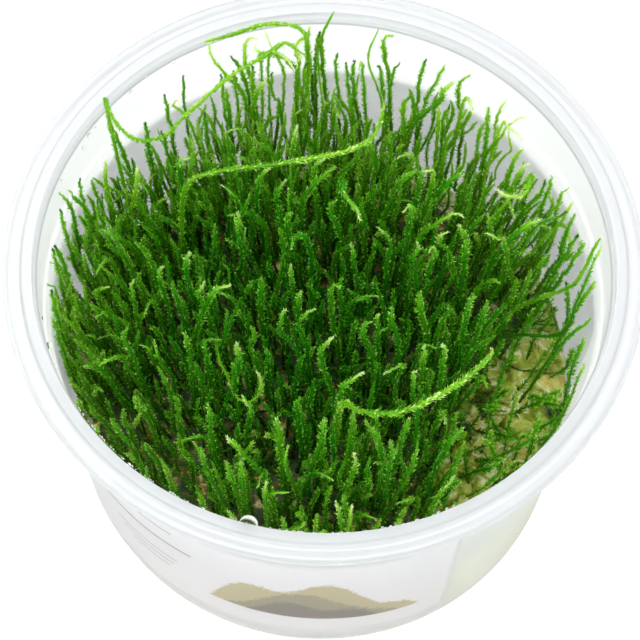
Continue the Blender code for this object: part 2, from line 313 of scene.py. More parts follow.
# Each broken piece has its place, its height and the tilt of its face.
GEL_PIECES = 150
piece_turn = CLEARING_AZIMUTH + draw.uniform(-1.0, 0.85, GEL_PIECES)
piece_reach = draw.uniform(20, 42, GEL_PIECES) * MM
piece_x, piece_y = piece_reach * np.cos(piece_turn), piece_reach * np.sin(piece_turn)
piece_rise = draw.uniform(0.1, 3.0, GEL_PIECES) * MM
piece_tilt = draw.normal(0, 0.42, (2, GEL_PIECES))
piece_tone = np.where(piece_turn < -0.5, draw.uniform(0.34, 0.64, GEL_PIECES),
                      draw.uniform(0.15, 0.95, GEL_PIECES))


def gel_top(x, y):
    """Height of the gel's upper face and the tone of its piece, with painted shade at the cracks."""
    height = GEL_TOP + 0.5 * MM * noise.noise(Vector((x, y, 0)) * 110)
    bare = clearing(math.atan2(y, x)) * max(0, min(1, (math.hypot(x, y) - 22 * MM) / (4 * MM)))
    if bare < 0.01:
        return height, 0.62
    off_x = x + 1.2 * MM * noise.noise(Vector((x, y, 0.3)) * 300) - piece_x
    off_y = y + 1.2 * MM * noise.noise(Vector((x, y, 0.7)) * 300) - piece_y
    apart = np.hypot(off_x, off_y)
    nearest, next_one = np.argsort(apart)[:2]
    crack = min(1, (apart[next_one] - apart[nearest]) / (0.9 * MM))
    face = piece_rise[nearest] + piece_tilt[0, nearest] * off_x[nearest]
    face += piece_tilt[1, nearest] * off_y[nearest]
    wrinkle = 0.35 * MM * noise.noise(Vector((x, y, 0.1)) * 900)
    height += bare * (max(0, min(3.4 * MM, face)) * (0.35 + 0.65 * crack) + wrinkle)
    # Towards a crack the tone drops: painted shade.
    return height, 0.62 * (1 - bare) + bare * piece_tone[nearest] * (0.3 + 0.7 * crack ** 0.5)


def spread_turn(turn):
    """Turns round the gel's mesh, drawn together where the gel lies bare."""
    return turn - 0.62 * math.sin(turn - CLEARING_AZIMUTH)


gel_mesh = bpy.data.meshes.new("agar_gel")
gel_bm = bmesh.new()
GEL_RINGS = 120
gel_tones = []
bmesh.ops.create_uvsphere(gel_bm, u_segments=240, v_segments=GEL_RINGS, radius=1)
for vertex in gel_bm.verts:
    azimuth = spread_turn(math.atan2(vertex.co.y, vertex.co.x))
    polar = math.acos(max(-1, min(1, vertex.co.z))) / math.pi
    side = max(0, min(1, (polar - 0.75) / 0.15))
    level = (1 - side) ** 1.5
    height = floor_height + 0.3 * MM + level * (GEL_TOP - floor_height - 0.3 * MM)
    corner = 1.6 * MM * max(0, 1 - 12 * level)
    reach = min(1, polar / 0.75) if polar < 0.9 else (1 - polar) / 0.1
    radius = reach * (inner_radius(height) - 0.4 * MM - corner)
    x, y = radius * math.cos(azimuth), radius * math.sin(azimuth)
    # The gel's side, seen through the wall, takes a lower tone than its top: painted shade.
    top, tone = gel_top(x, y) if polar < 0.751 else (height, 0.48)
    vertex.co = (x, y, top)
    gel_tones.append(tone)
gel_bm.to_mesh(gel_mesh)
gel_bm.free()
gel_mesh.shade_smooth()
gel_mesh.attributes.new("tone", "FLOAT", "POINT").data.foreach_set("value", gel_tones)
gel = bpy.data.objects.new("agar_gel", gel_mesh)
bpy.context.collection.objects.link(gel)

# Agar gel, set from a clear nutrient broth: pale straw and cloudy in its depth, the broken pieces
# grey, straw, olive and amber by the old moss in them, with a wet skin. The cracks and the gel's side
# are darkened as painted shade, and a narrow pale band in its colours draws thin painted highlights.
agar, shader = new_material("agar")
place = add_node(agar, "ShaderNodeTexCoord", {})
tone = add_node(agar, "ShaderNodeAttribute", {}, attribute_name="tone")
stain = add_node(agar, "ShaderNodeTexNoise", {"Vector": place.outputs["Object"], "Scale": 240,
                                              "Detail": 6, "Roughness": 0.66, "Distortion": 1.4})
spread_tone = add_node(agar, "ShaderNodeMath", {0: stain.outputs["Fac"], 1: 1.2,
                                                2: tone.outputs["Fac"]}, operation="MULTIPLY_ADD")
shift = add_node(agar, "ShaderNodeMath", {0: spread_tone.outputs[0], 1: 0.6},
                 operation="SUBTRACT")
# The narrow near-white stop at 0.64 draws thin curling lines of painted highlight.
gel_colour_with_painted_light = colour_ramp(agar, shift.outputs[0], (
    ("#1f2c07", 0.04), ("#465c12", 0.15), ("#7a8e26", 0.28), ("#a5b23c", 0.41), ("#c6cf62", 0.55),
    ("#f8f7d4", 0.64), ("#ccd26e", 0.71), ("#d6d06c", 0.85), ("#c8b252", 0.98)))
agar.node_tree.links.new(gel_colour_with_painted_light, shader.inputs["Base Color"])
skin = add_node(agar, "ShaderNodeTexNoise", {"Vector": place.outputs["Object"], "Scale": 800,
                                             "Detail": 4})
wet = add_node(agar, "ShaderNodeBump", {"Height": skin.outputs["Fac"], "Strength": 0.9,
                                        "Distance": 0.5 * MM})
agar.node_tree.links.new(wet.outputs["Normal"], shader.inputs["Normal"])
set_inputs(shader, Roughness=0.05, IOR=1.4, Transmission_Weight=0.2)
gel_mesh.materials.append(agar)
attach(gel, "root")
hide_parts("gel")

# The moss
# A water moss grown from tissue: a thatch of old creeping stems on the gel, and some nine hundred
# upright shoots, each a thin stem clad all round in tiny overlapping pointed leaves.
GOLDEN_ANGLE = math.pi * (3 - math.sqrt(5))


def unit(vectors):
    return vectors / np.maximum(np.linalg.norm(vectors, axis=-1, keepdims=True), 1e-12)


def leafy_stems(name, routes, share, body, leaf_length, spread, density, age_and_painted_light, warmth_and_painted_backlight):
    """One mesh of leafy stems. routes is stems x points x 3, age_and_painted_light stems x points,
    share the points' places along a stem, density the leaves on each stem, and the rest hold one
    value a stem. age_and_painted_light, from old 0 to young 1 with painted light added, and
    warmth_and_painted_backlight go to the material; each leaf adds painted shade at its base and a
    painted glint towards its tip."""
    stems, points = routes.shape[:2]
    heading = unit(np.gradient(routes, axis=1))
    beside = np.empty_like(routes)
    beside[:, 0] = unit(np.cross(heading[:, 0], draw.normal(size=(stems, 3))))
    for index in range(1, points):
        last = beside[:, index - 1]
        lift = np.sum(last * heading[:, index], axis=-1, keepdims=True)
        beside[:, index] = unit(last - lift * heading[:, index])
    third = np.cross(heading, beside)

    sides = 4
    turns = (np.arange(sides) * math.tau / sides)[:, None]
    ring = beside[:, :, None] * np.cos(turns) + third[:, :, None] * np.sin(turns)
    taper = np.clip(1.25 - 0.25 * share, 0, 1) * np.clip((1.02 - share) / 0.1, 0.06, 1) ** 0.6
    thick = body[:, None] * taper * draw.uniform(0.82, 1.15, (stems, points))
    stem_places = (routes[:, :, None] + ring * thick[:, :, None, None]).reshape(-1, 3)
    corner = np.arange(stems * points * sides).reshape(stems, points, sides)
    here, above = corner[:, :-1], corner[:, 1:]
    beyond, above_beyond = np.roll(here, -1, axis=2), np.roll(above, -1, axis=2)
    stem_faces = np.concatenate([
        np.stack([here, beyond, above_beyond], axis=-1).reshape(-1, 3),
        np.stack([here, above_beyond, above], axis=-1).reshape(-1, 3)])
    stem_age_and_painted_light = np.repeat((age_and_painted_light - 0.08).reshape(-1), sides)
    stem_warmth_and_backlight = np.repeat(warmth_and_painted_backlight, points * sides)

    which = np.repeat(np.arange(stems), density)
    order = np.arange(len(which)) - np.repeat(np.cumsum(density) - density, density)
    places = ((order + draw.uniform(0, 1, len(which))) / density[which]) ** 0.8 * 0.99 + 0.01
    step = np.interp(places, share, np.arange(points))
    first = np.minimum(step.astype(int), points - 2)
    part = (step - first)[:, None]

    def read(values):
        return values[which, first] * (1 - part) + values[which, first + 1] * part

    axis = unit(read(heading))
    out_from = unit(read(beside))
    turn = (order * GOLDEN_ANGLE + draw.uniform(-0.5, 0.5, len(which)))[:, None]
    outward = out_from * np.cos(turn) + np.cross(axis, out_from) * np.sin(turn)
    sideways = np.cross(axis, outward)
    open_up = np.clip((1 - places) / 0.13, 0, 1)
    pressed = draw.random(len(which)) < 0.62
    angle = np.where(pressed, 0.5, spread[which]) * (0.55 + 0.45 * open_up)
    angle *= draw.uniform(0.7, 1.3, len(which))
    length = leaf_length[which] * (0.6 + 0.4 * open_up) * draw.uniform(0.7, 1.3, len(which))
    twist = draw.normal(0, 0.5, len(which))
    angle, length, twist = angle[:, None], length[:, None], twist[:, None]
    leaf = axis * np.cos(angle) + outward * np.sin(angle)
    flank = sideways * np.cos(twist) + np.cross(leaf, sideways) * np.sin(twist)
    base = read(routes) + outward * 0.85 * read(thick[:, :, None])
    middle = base + leaf * length * 0.4
    tip = base + leaf * length + outward * length * draw.uniform(0.0, 0.3, (len(which), 1))
    half_width = length * np.where(pressed, 0.3, 0.13)[:, None]
    leaf_places = np.stack([base, middle + flank * half_width, tip,
                            middle - flank * half_width], axis=1).reshape(-1, 3)
    leaf_corner = stems * points * sides + np.arange(len(which) * 4).reshape(-1, 4)
    leaf_faces = np.concatenate([leaf_corner[:, [0, 1, 2]], leaf_corner[:, [0, 2, 3]]])
    grown = read(age_and_painted_light[:, :, None]) + draw.normal(0, 0.12, (len(which), 1))
    # Each leaf is darker at its base, painted shade where it tucks against the stem, and lighter towards
    # its tip, a painted glint that is strong on about one leaf in seven.
    painted_glint = np.where(draw.random(len(which)) < 0.15, 0.85, 0.2)[:, None]
    painted_glint *= 1.15 - 0.8 * np.clip(grown, 0, 1)
    leaf_age_and_painted_light = grown + np.array([-0.14, 0, 0, 0]) + np.array([0, 0.5, 1, 0.5]) * painted_glint
    leaf_age_and_painted_light = leaf_age_and_painted_light.reshape(-1)
    leaf_warmth_and_backlight = np.repeat(warmth_and_painted_backlight[which], 4)

    mesh = bpy.data.meshes.new(name)
    vertices = np.concatenate([stem_places, leaf_places]).astype(np.float32)
    faces = np.concatenate([stem_faces, leaf_faces]).astype(np.int32)
    mesh.vertices.add(len(vertices))
    mesh.vertices.foreach_set("co", vertices.ravel())
    mesh.loops.add(faces.size)
    mesh.loops.foreach_set("vertex_index", faces.ravel())
    mesh.polygons.add(len(faces))
    mesh.polygons.foreach_set("loop_start", np.arange(0, faces.size, 3, dtype=np.int32))
    for label_name, parts in (("age_and_painted_light", (stem_age_and_painted_light, leaf_age_and_painted_light)),
                              ("warmth_and_painted_backlight", (stem_warmth_and_backlight, leaf_warmth_and_backlight))):
        values = np.clip(np.concatenate(parts), 0, 1).astype(np.float32)
        mesh.attributes.new(label_name, "FLOAT", "POINT").data.foreach_set("value", values)
    mesh.update(calc_edges=True)
    mesh.validate()
    piece = bpy.data.objects.new(name, mesh)
    bpy.context.collection.objects.link(piece)
    return piece


# Moss leaves, one cell thick and moist: fresh lime at the growing tips, deep green below and brown
# where they are old, and light shines through them. Leaf tips carry a painted highlight, near
# white on some, and the clump's rim and back are paler and yellower by painted backlight.
moss_leaf, shader = new_material("moss_leaf")
age_and_light_read = add_node(moss_leaf, "ShaderNodeAttribute", {}, attribute_name="age_and_painted_light")
warmth_and_backlight_read = add_node(moss_leaf, "ShaderNodeAttribute", {}, attribute_name="warmth_and_painted_backlight")
# The near-white top stops of both ramps are reached mostly by the painted glint on leaf tips.
young = colour_ramp(moss_leaf, age_and_light_read.outputs["Fac"], (
    ("#2a2314", 0.0), ("#22370d", 0.1), ("#1a5c0a", 0.24), ("#2e9a12", 0.5), ("#7ad22c", 0.76),
    ("#c8f274", 0.93), ("#ecfad6", 1.0)))
yellow_green_with_painted_backlight = colour_ramp(moss_leaf, age_and_light_read.outputs["Fac"], (
    ("#3a2a14", 0.0), ("#4f4a16", 0.1), ("#4a840a", 0.24), ("#6cbc14", 0.5), ("#aae234", 0.76),
    ("#e8fa8c", 0.93), ("#f6fcd8", 1.0)))
blend = add_node(moss_leaf, "ShaderNodeMix", {0: warmth_and_backlight_read.outputs["Fac"], 6: young,
                                              7: yellow_green_with_painted_backlight}, data_type="RGBA")
moss_leaf.node_tree.links.new(blend.outputs[2], shader.inputs["Base Color"])
set_inputs(shader, Roughness=0.27, IOR=1.42, Specular_IOR_Level=0.45)
through = add_node(moss_leaf, "ShaderNodeBsdfTranslucent", {"Color": blend.outputs[2]})
leaf_surface = add_node(moss_leaf, "ShaderNodeMixShader", {0: 0.4, 1: shader.outputs[0],
                                                           2: through.outputs[0]})
moss_leaf.node_tree.links.new(leaf_surface.outputs[0],
                              moss_leaf.node_tree.nodes["Material Output"].inputs["Surface"])


def finish_moss(piece, *nodes):
    piece.data.materials.append(moss_leaf)
    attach(piece, "root")
    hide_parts(*nodes)


POINTS = 20
SHARE = 1 - (1 - np.linspace(0, 1, POINTS)) ** 1.6


def grow(roots, headings, lengths, bends, waviness, curls, curl_start):
    """Routes of stems that start at their roots, bend as they grow and curl at the tip."""
    stems = len(roots)
    share = SHARE[None, 1:, None]
    sway = draw.uniform(0, math.tau, (stems, 1, 2))
    wave = draw.uniform(6, 15, (stems, 1, 2))
    waver = waviness[:, None, None] * np.concatenate([np.sin(sway + wave * share),
                                   np.zeros((stems, POINTS - 1, 1))], axis=-1)
    curl_share = np.clip((share - curl_start[:, None, None])
                         / (1 - curl_start[:, None, None]), 0, 1) ** 1.3
    steps = unit(headings[:, None] + bends[:, None] * share + waver + curls[:, None] * curl_share)
    steps = steps * (lengths[:, None] * np.diff(SHARE))[:, :, None]
    return np.concatenate([roots[:, None], roots[:, None] + np.cumsum(steps, axis=1)], axis=1)


def keep_inside(routes):
    """Press the stems that would pass through the wall flat against it."""
    reach = np.linalg.norm(routes[..., :2], axis=-1)
    limit = BASE_RADIUS + WALL_SLOPE * np.minimum(routes[..., 2], STEP_HEIGHT) - WALL - 1.0 * MM
    limit = np.where(routes[..., 2] > STEP_HEIGHT + 1 * MM, 43.6 * MM, limit)
    routes[..., :2] *= np.minimum(1, limit / np.maximum(reach, 1e-9))[..., None]
    return routes


def smooth_field(x, y, seed, wave):
    """A slowly changing value between about -1 and 1 over the clump."""
    return np.array([noise.noise(Vector((a / wave, b / wave, seed))) for a, b in zip(x, y)]) * 1.6


def smooth_route(points, shares):
    """Points on a smooth curve through the given ones in millimetres, at shares of its length."""
    knots = np.array(points, float) * MM
    padded = np.concatenate([[2 * knots[0] - knots[1]], knots, [2 * knots[-1] - knots[-2]]])
    places = np.linspace(0, len(knots) - 1, 12 * len(knots))
    first = np.minimum(places.astype(int), len(knots) - 2)
    t = (places - first)[:, None]
    before, start, end, after = (padded[first + step] for step in range(4))
    curve = 0.5 * (2 * start + (end - before) * t
                   + (2 * before - 5 * start + 4 * end - after) * t ** 2
                   + (3 * start - before - 3 * end + after) * t ** 3)
    along = np.concatenate([[0], np.cumsum(np.linalg.norm(np.diff(curve, axis=0), axis=1))])
    return np.stack([np.interp(shares * along[-1], along, curve[:, axis]) for axis in range(3)],
                    axis=1), along[-1]


# The shoots that stand out, each with its state, its thickness and its own way from foot to tip
# in millimetres. A dry one ends dark, and a fresh one is still growing and lime at its tip.
STANDING_SHOOTS = (
    ("dry", 1, (-12.7, 36.6, 25), (-13.1, 37, 46), (-14.5, 37.1, 55), (-15.8, 37, 59)),
    ("dry", 1, (-9.4, 35.3, 25), (-13.7, 35.6, 48), (-15, 35.6, 53), (-15.4, 35.6, 57)),
    ("dry", 1, (-11.5, 35.8, 25), (-12.5, 36.2, 58)),
    ("dry", 0.8, (-16, 34.8, 25), (-17.5, 35, 57)),
    ("plain", 1, (-15.3, 32.9, 25), (-16.6, 33.4, 55)),
    ("dry", 0.8, (-18.6, 29, 25), (-19.9, 29.6, 54)),
    ("fresh", 1, (-13.7, 34.4, 25), (-12, 35, 49), (-10.1, 35.1, 56)),
    ("dry", 0.8, (-9.6, 35, 25), (-8.1, 35.6, 46), (-9.3, 35.6, 50), (-9.3, 35.6, 57)),
    ("fresh", 1.1, (-1.8, 39, 25), (-2.7, 41.2, 41), (-3.8, 41.3, 56), (-3.5, 41.2, 62)),
    ("dry", 1, (-1.6, 39, 25), (-2.2, 40.8, 41), (-2.3, 41, 55), (-1.7, 40.9, 61)),
    ("dry", 1, (-0.1, 39, 25), (-0.7, 41, 42), (-1.5, 41, 55), (-1.3, 41, 60)),
    ("dry", 0.9, (-4.7, 36.9, 25), (-4, 37.3, 57)),
    ("plain", 0.9, (-4.5, 36.6, 25), (-5.3, 37, 51), (-4.8, 37, 59)),
    ("dry", 0.7, (-21.6, 32.5, 25), (-23.3, 34.4, 42), (-23.6, 34.6, 57)),
    ("dry", 0.9, (-24.2, 30.5, 25), (-26.5, 31.4, 56)),
    ("yellow", 0.7, (-18.4, 29.9, 25), (-22.4, 30, 49), (-23.6, 30, 53), (-24.9, 30, 55), (-24.6, 30, 57),
     (-24, 29.6, 57)),
    ("dry", 0.9, (-22.9, 25.4, 25), (-26.8, 26, 54)),
    ("dry", 0.9, (-26, 25.3, 25), (-28.5, 26, 43), (-29.3, 26.3, 56)),
    ("plain", 1, (-28.8, 23.8, 25), (-33.9, 24.6, 54), (-35.1, 24.6, 57)),
    ("yellow", 0.9, (-32, 17.4, 25), (-35.2, 18.3, 47), (-35.1, 18.6, 57)),
    ("dry", 0.9, (-30, 19.1, 25), (-31.1, 20, 55)),
    ("dry", 0.8, (-36.5, 13.9, 25), (-38.8, 14.8, 49), (-39, 15, 57)),
    ("plain", 0.8, (-33.4, 12.4, 25), (-37.5, 13.3, 46), (-40.7, 13.5, 56)),
    ("plain", 0.9, (-37.7, 9.8, 25), (-39.6, 10.8, 34), (-40.1, 11.7, 50), (-40.8, 11.8, 55),
     (-41.9, 11.9, 58)),
    ("dry", 0.9, (-38.2, 7.8, 25), (-40.6, 8.9, 41), (-41.8, 9.5, 57)),
    ("dry", 0.8, (-32.9, 11.8, 25), (-35.9, 12.7, 46), (-36.3, 13, 54)),
    ("dry", 0.9, (-39, 0.3, 25), (-41.3, 1.3, 42), (-42.5, 2.1, 58)),
    ("dry", 1, (-38.8, 1.5, 25), (-40.8, 2.7, 48), (-42.2, 3.1, 57)),
    ("dry", 1, (-38.5, -6.5, 25), (-41.2, -5.8, 41), (-42.3, -4.8, 57)),
    ("plain", 1, (-37.6, -10.3, 25), (-40.2, -9.6, 38), (-41.9, -8.5, 55)),
    ("yellow", 0.9, (-33.4, 15.3, 30), (-32.9, 15.9, 38), (-30.7, 16.5, 49), (-30, 16.7, 58)),
    ("fresh", 1, (-23.6, -1.8, 24), (-24.4, -0.4, 40), (-25.8, 0.3, 52), (-25.2, 0.5, 56)),
    ("fresh", 0.9, (-28.1, -3.5, 25), (-30, -1.9, 50), (-29.8, -1.6, 55)),
    ("fresh", 1, (-17.6, 1.4, 29), (-21.5, 2.6, 46), (-21.7, 2.9, 52), (-21.1, 3.1, 56)),
    ("yellow", 0.8, (-17.6, -0.8, 25), (-16.8, -4.7, 41), (-15.8, -10, 42), (-12.4, -16.5, 43),
     (-10.5, -16.5, 44), (-9.5, -16.3, 46), (-9.4, -16, 50), (-10.1, -15.8, 53)),
    ("fresh", 1.1, (-22.7, -4.9, 25), (-18.2, -3.4, 52), (-14.6, -3, 57)),
    ("fresh", 0.9, (-14.7, -4, 25), (-19.1, -2.6, 50), (-19.4, -2.5, 53), (-18.7, -2.3, 56)),
    ("plain", 1, (-19.9, -3.7, 25), (-23.7, -1.9, 55)),
    ("plain", 1, (-20.4, -12.3, 25), (-20.5, -10.8, 43), (-21.4, -10.1, 54)),
    ("plain", 1, (-17.1, -13.2, 25), (-18.2, -11.1, 53)),
    ("fresh", 1, (-17.4, -15.1, 25), (-13.2, -13.2, 47), (-13.2, -12.5, 56)),
    ("plain", 0.9, (-12.7, -16, 25), (-13.9, -14.1, 52)),
    ("plain", 1, (-6.6, -11.4, 25), (-11, -9.7, 47), (-10.5, -9.4, 52), (-11.1, -9.2, 55)),
    ("plain", 1.3, (-7.2, -3.5, 25), (-9.7, -2.4, 41), (-9.7, -1.5, 57)),
    ("fresh", 0.9, (-3.2, -0.8, 25), (-5.4, 0.8, 57)),
    ("fresh", 0.9, (-0.1, -9.2, 25), (-3.8, -7.8, 43), (-6.5, -7.4, 50), (-6.5, -7.1, 54),
     (-5.8, -6.9, 57)),
    ("fresh", 0.8, (-1, -9, 25), (-2.7, -7.5, 47), (-3.7, -7.2, 51), (-2.8, -6.9, 55), (-1.3, -6.8, 57)),
    ("fresh", 1, (-2.1, -5, 25), (-4, -3.5, 51), (-3.5, -3.2, 56)),
    ("fresh", 0.9, (4.9, -13.9, 25), (0, -12, 50), (0.4, -11.8, 54), (1.6, -11.5, 57)),
    ("plain", 1, (3.9, -4.9, 25), (1.2, -3.2, 51), (1.3, -2.9, 57), (2.4, -2.8, 57)),
    ("plain", 1.3, (-4.6, -28.2, 25), (-6.6, -25.2, 56)),
    ("plain", 1, (-1.8, -23.4, 25), (-3.5, -21.4, 50), (-3.2, -21, 55)),
    ("fresh", 0.9, (-21.8, 18.3, 25), (-23.6, 19.2, 53), (-23.1, 19.3, 56), (-21.8, 19.4, 57)),
    ("fresh", 0.9, (-9.5, 16.3, 25), (-11.1, 17.3, 49), (-10.1, 17.5, 56), (-8.7, 17.6, 58)),
    ("fresh", 0.9, (-5.7, 14.6, 25), (-7, 15.5, 47), (-7.9, 15.7, 51), (-7.5, 15.8, 54), (-6.4, 15.9, 57)),
    ("plain", 1.2, (-2.7, 16.4, 25), (-3.9, 17.4, 47), (1.2, 17.9, 58)),
    ("fresh", 0.8, (-4.8, 25, 25), (-5.6, 25.7, 47), (-5, 25.9, 57)),
    ("fresh", 1, (-12.2, 8.9, 25), (-13.8, 10.3, 56)),
    ("plain", 1.1, (-3.8, 9.4, 25), (-6, 10.4, 53), (-5.3, 10.5, 56)),
    ("plain", 1, (-0.3, 5.6, 25), (-2.7, 7, 53), (-4, 7, 55), (-5.2, 6.3, 56), (-5.2, 4.3, 56)),
    ("plain", 0.9, (-3.7, 7.1, 25), (-7.2, 8.3, 55)),
    ("fresh", 0.9, (0, 18.8, 25), (-2.1, 19.5, 53), (-1.5, 19.6, 56), (-0.1, 19.7, 58)),
    ("fresh", 1.3, (1.3, 20.1, 25), (2.3, 16.2, 56), (2.9, 13.6, 57), (4.9, 10.5, 58), (5.4, 8.5, 58)),
    ("plain", 1, (5.1, 10.8, 25), (3.6, 11.7, 41), (0.8, 12.2, 54), (1.5, 12.4, 57)),
    ("fresh", 0.9, (10.1, 6.3, 25), (10, 7.5, 46), (10.6, 7.7, 51), (9.7, 7.9, 54), (8.2, 7.9, 57)),
    ("fresh", 1, (12.1, 9.7, 25), (13.4, 10.8, 56), (12.9, 10.9, 58), (12.1, 10.2, 58)),
    ("plain", 1.2, (7.8, 12.1, 24), (9.7, 15.2, 24), (11.4, 16.5, 28), (13.8, 17.4, 41), (15, 18, 57)),
    ("fresh", 0.8, (13.8, 16.7, 25), (16.9, 17.6, 55), (15.2, 17.6, 58)),
    ("plain", 1.4, (11.1, 16.8, 25), (16.3, 17.7, 46), (19.6, 18.1, 54), (21.5, 18.2, 57)),
    ("fresh", 1, (11.2, 9.4, 25), (15.1, 10, 49), (16.1, 10.2, 52), (19.9, 10.5, 57), (21.6, 10.1, 57)),
    ("fresh", 0.9, (24, 6.3, 25), (20, 7, 48), (19, 7.2, 52), (17.8, 7.2, 54), (18, 7.3, 56),
     (19.2, 7.4, 57)),
    ("fresh", 1, (23.3, 7.7, 25), (22.7, 8.9, 48), (22.2, 9.1, 52), (20.9, 9.2, 56)),
    ("fresh", 0.8, (16.6, 3.8, 25), (14.5, 5, 47), (13.5, 5.2, 51), (14.7, 5.4, 54), (14.4, 5.5, 57)),
    ("fresh", 1, (16.1, 2.7, 25), (16.4, 4.1, 47), (17.3, 4.5, 56), (16.6, 4.6, 57), (16.3, 3.7, 57)),
    ("fresh", 0.9, (7.4, 4.6, 25), (4.1, 6, 55)),
    ("plain", 0.9, (3.9, -1.7, 25), (2.6, -0.3, 51), (2.8, -0.1, 55)),
    ("plain", 1, (7.7, 17.6, 25), (11, 18.6, 50), (14.1, 18.9, 56)),
    ("plain", 1.2, (22, 5.2, 25), (22.3, 7.1, 55)),
    ("plain", 1, (28.6, 22, 25), (29.4, 22.8, 48), (30.8, 23.1, 56)),
    ("fresh", 1, (26.8, 18.7, 25), (29.9, 19.8, 50), (31.8, 20, 57)),
    ("fresh", 1.2, (31.6, 22.9, 25), (32.5, 19.9, 53), (31.6, 16, 54), (28.9, 15.7, 54), (27, 15.7, 56)),
    ("plain", 0.9, (30.6, 16.2, 25), (34.6, 17.4, 46), (35.6, 17.8, 57)),
    ("dry", 0.9, (27.4, 16.5, 25), (31.4, 17.1, 45), (34.1, 17.4, 52), (34.6, 17.6, 56)),
    ("fresh", 1.3, (24.1, 9.6, 25), (28.1, 10.1, 46), (33.5, 10.7, 56)),
    ("fresh", 0.8, (29.6, 10.4, 25), (25.6, 11.5, 56)),
    ("fresh", 0.8, (33.1, 6.9, 25), (28.5, 7.9, 52), (27.1, 7.9, 54), (25.4, 7.9, 56)),
    ("plain", 1, (21, -4.3, 25), (23.3, -2.2, 55)),
    ("plain", 1, (22.6, -5.4, 25), (25.6, -3.2, 54)),
    ("fresh", 1.1, (0, -21, 25), (2.4, -19.3, 43), (3, -18.6, 52), (4.1, -18.3, 55), (6.5, -18, 58)),
    ("plain", 1.3, (9.8, -10.6, 25), (7.9, -8.9, 46), (6.7, -8.7, 50), (6.3, -8.4, 54), (7.3, -8.3, 56)),
    ("fresh", 0.8, (10.1, -8.6, 25), (8.5, -6.9, 52), (8.7, -6.7, 56)),
    ("plain", 1.1, (11.5, -8.4, 25), (12.1, -7, 43), (11.7, -6.6, 48), (10.7, -6.3, 52), (10.7, -6.1, 57)),
    ("fresh", 1, (15.5, -14.4, 25), (15.9, -12, 56)),
    ("fresh", 0.8, (16.8, -18.6, 25), (14.2, -16.6, 52), (14.7, -16.3, 56)),
    ("fresh", 1, (18.7, -14.2, 25), (19, -12.1, 53), (18.5, -11.9, 56)),
    ("plain", 1.4, (17.9, -5.6, 25), (16.6, -4.2, 44), (15.3, -3.9, 50), (15, -3.5, 57)),
    ("plain", 1.1, (23.1, -5.7, 25), (22.3, -4.4, 41), (22.7, -3.6, 53), (23.6, -3.4, 56)),
    ("plain", 1.1, (16.5, -26.8, 25), (19.2, -24.9, 44), (21.9, -24.1, 52)),
    ("plain", 1, (4.6, -26.6, 25), (5, -23.8, 55)),
    ("plain", 1, (13.5, -26.6, 25), (9.5, -24.8, 45), (6.9, -24.1, 54)),
    ("fresh", 1, (-4.9, -30.5, 25), (-8.8, -29.7, 45), (-14.2, -28.8, 57)),
    ("plain", 1.2, (-3.7, -28.8, 25), (0.1, -26.1, 49), (0.7, -25.5, 57)),
    ("plain", 1, (-0.9, -27.2, 24), (4, -25.3, 39), (5, -24.4, 47), (5.1, -23.7, 56)),
    ("fresh", 1, (3, -33.3, 25), (4.6, -31.3, 45), (5.6, -30.7, 50), (5.4, -30.3, 55)),
    ("fresh", 0.9, (-6.6, -36.7, 25), (-8.1, -34.6, 45), (-8, -33.9, 52)),
    ("yellow", 0.7, (4.3, -38.8, 25), (4.9, -38.5, 45), (5.2, -37.7, 53)),
    ("fresh", 0.9, (5.9, -38.6, 25), (3.8, -38.2, 46), (2.8, -37.4, 53)),
    ("plain", 1, (9.8, -27.6, 25), (13.6, -24.5, 56)),
    ("plain", 0.9, (9.9, -30.6, 25), (11.1, -28.3, 49), (10.7, -27.8, 55)),
    ("plain", 1, (12.5, -27.9, 25), (9.4, -25.9, 48), (8, -25.4, 54)),
    ("plain", 1, (-9.8, -33.9, 25), (-14.2, -31.3, 53)),
    ("plain", 1.1, (-13.4, -26.2, 29), (-16.2, -24.9, 41), (-17.2, -23.5, 57)),
    ("plain", 1, (-11.2, -32.8, 25), (-17.1, -30.7, 48), (-18, -30, 55)),
    ("plain", 1, (-10.7, -34, 25), (-12, -31.3, 53)),
    ("plain", 1, (8.8, -32.1, 25), (13.8, -29.6, 46), (14.9, -28.9, 54)),
    ("plain", 1, (-24.5, -12.5, 24), (-26.5, -11.3, 29), (-27.8, -10.8, 34), (-30.5, -9.7, 48),
     (-30.9, -9.4, 52), (-30.3, -9.3, 54)),
    ("plain", 1, (10.3, 37.6, 25), (10.5, 40.1, 35), (9.7, 41.4, 48), (9.1, 42.3, 51), (8.6, 42.3, 57),
     (9.7, 43.1, 58), (10.2, 42.8, 58)),
    ("dry", 0.8, (9.6, 37.8, 25), (10.2, 39.1, 50), (11.2, 39.2, 55)),
    ("dry", 1, (10.9, 36.8, 25), (8.3, 37.3, 54), (7.7, 37.3, 57)),
    ("dry", 0.8, (2.5, 38.2, 25), (1, 38.3, 55), (1.2, 38.3, 59)),
    ("dry", 0.8, (4.9, 37.5, 25), (2.6, 37.7, 57)),
    ("dry", 0.9, (6.5, 37.4, 25), (3.9, 37.7, 50), (3.8, 37.7, 58)),
    ("plain", 0.9, (7.1, 35.8, 25), (5.3, 36.3, 57), (4.7, 36.2, 58)),
    ("dry", 1.1, (13.8, 32.1, 25), (12.1, 32.8, 50), (12.4, 32.8, 54), (13.2, 32.9, 55)),
    ("dry", 0.9, (15.2, 35.9, 25), (14.5, 37, 49), (15.4, 37.1, 60)),
    ("plain", 0.9, (14.2, 35.3, 25), (15.5, 35.8, 46), (18.4, 36, 60)),
    ("fresh", 1.2, (8.3, 33, 25), (13.6, 33.7, 44), (18.1, 34, 52), (18.4, 34.1, 55), (20, 34.1, 58)),
    ("plain", 0.9, (21.7, 32.4, 25), (22.2, 35.2, 39), (20.8, 35.4, 53), (21.3, 35.5, 56),
     (22.5, 35.5, 58)),
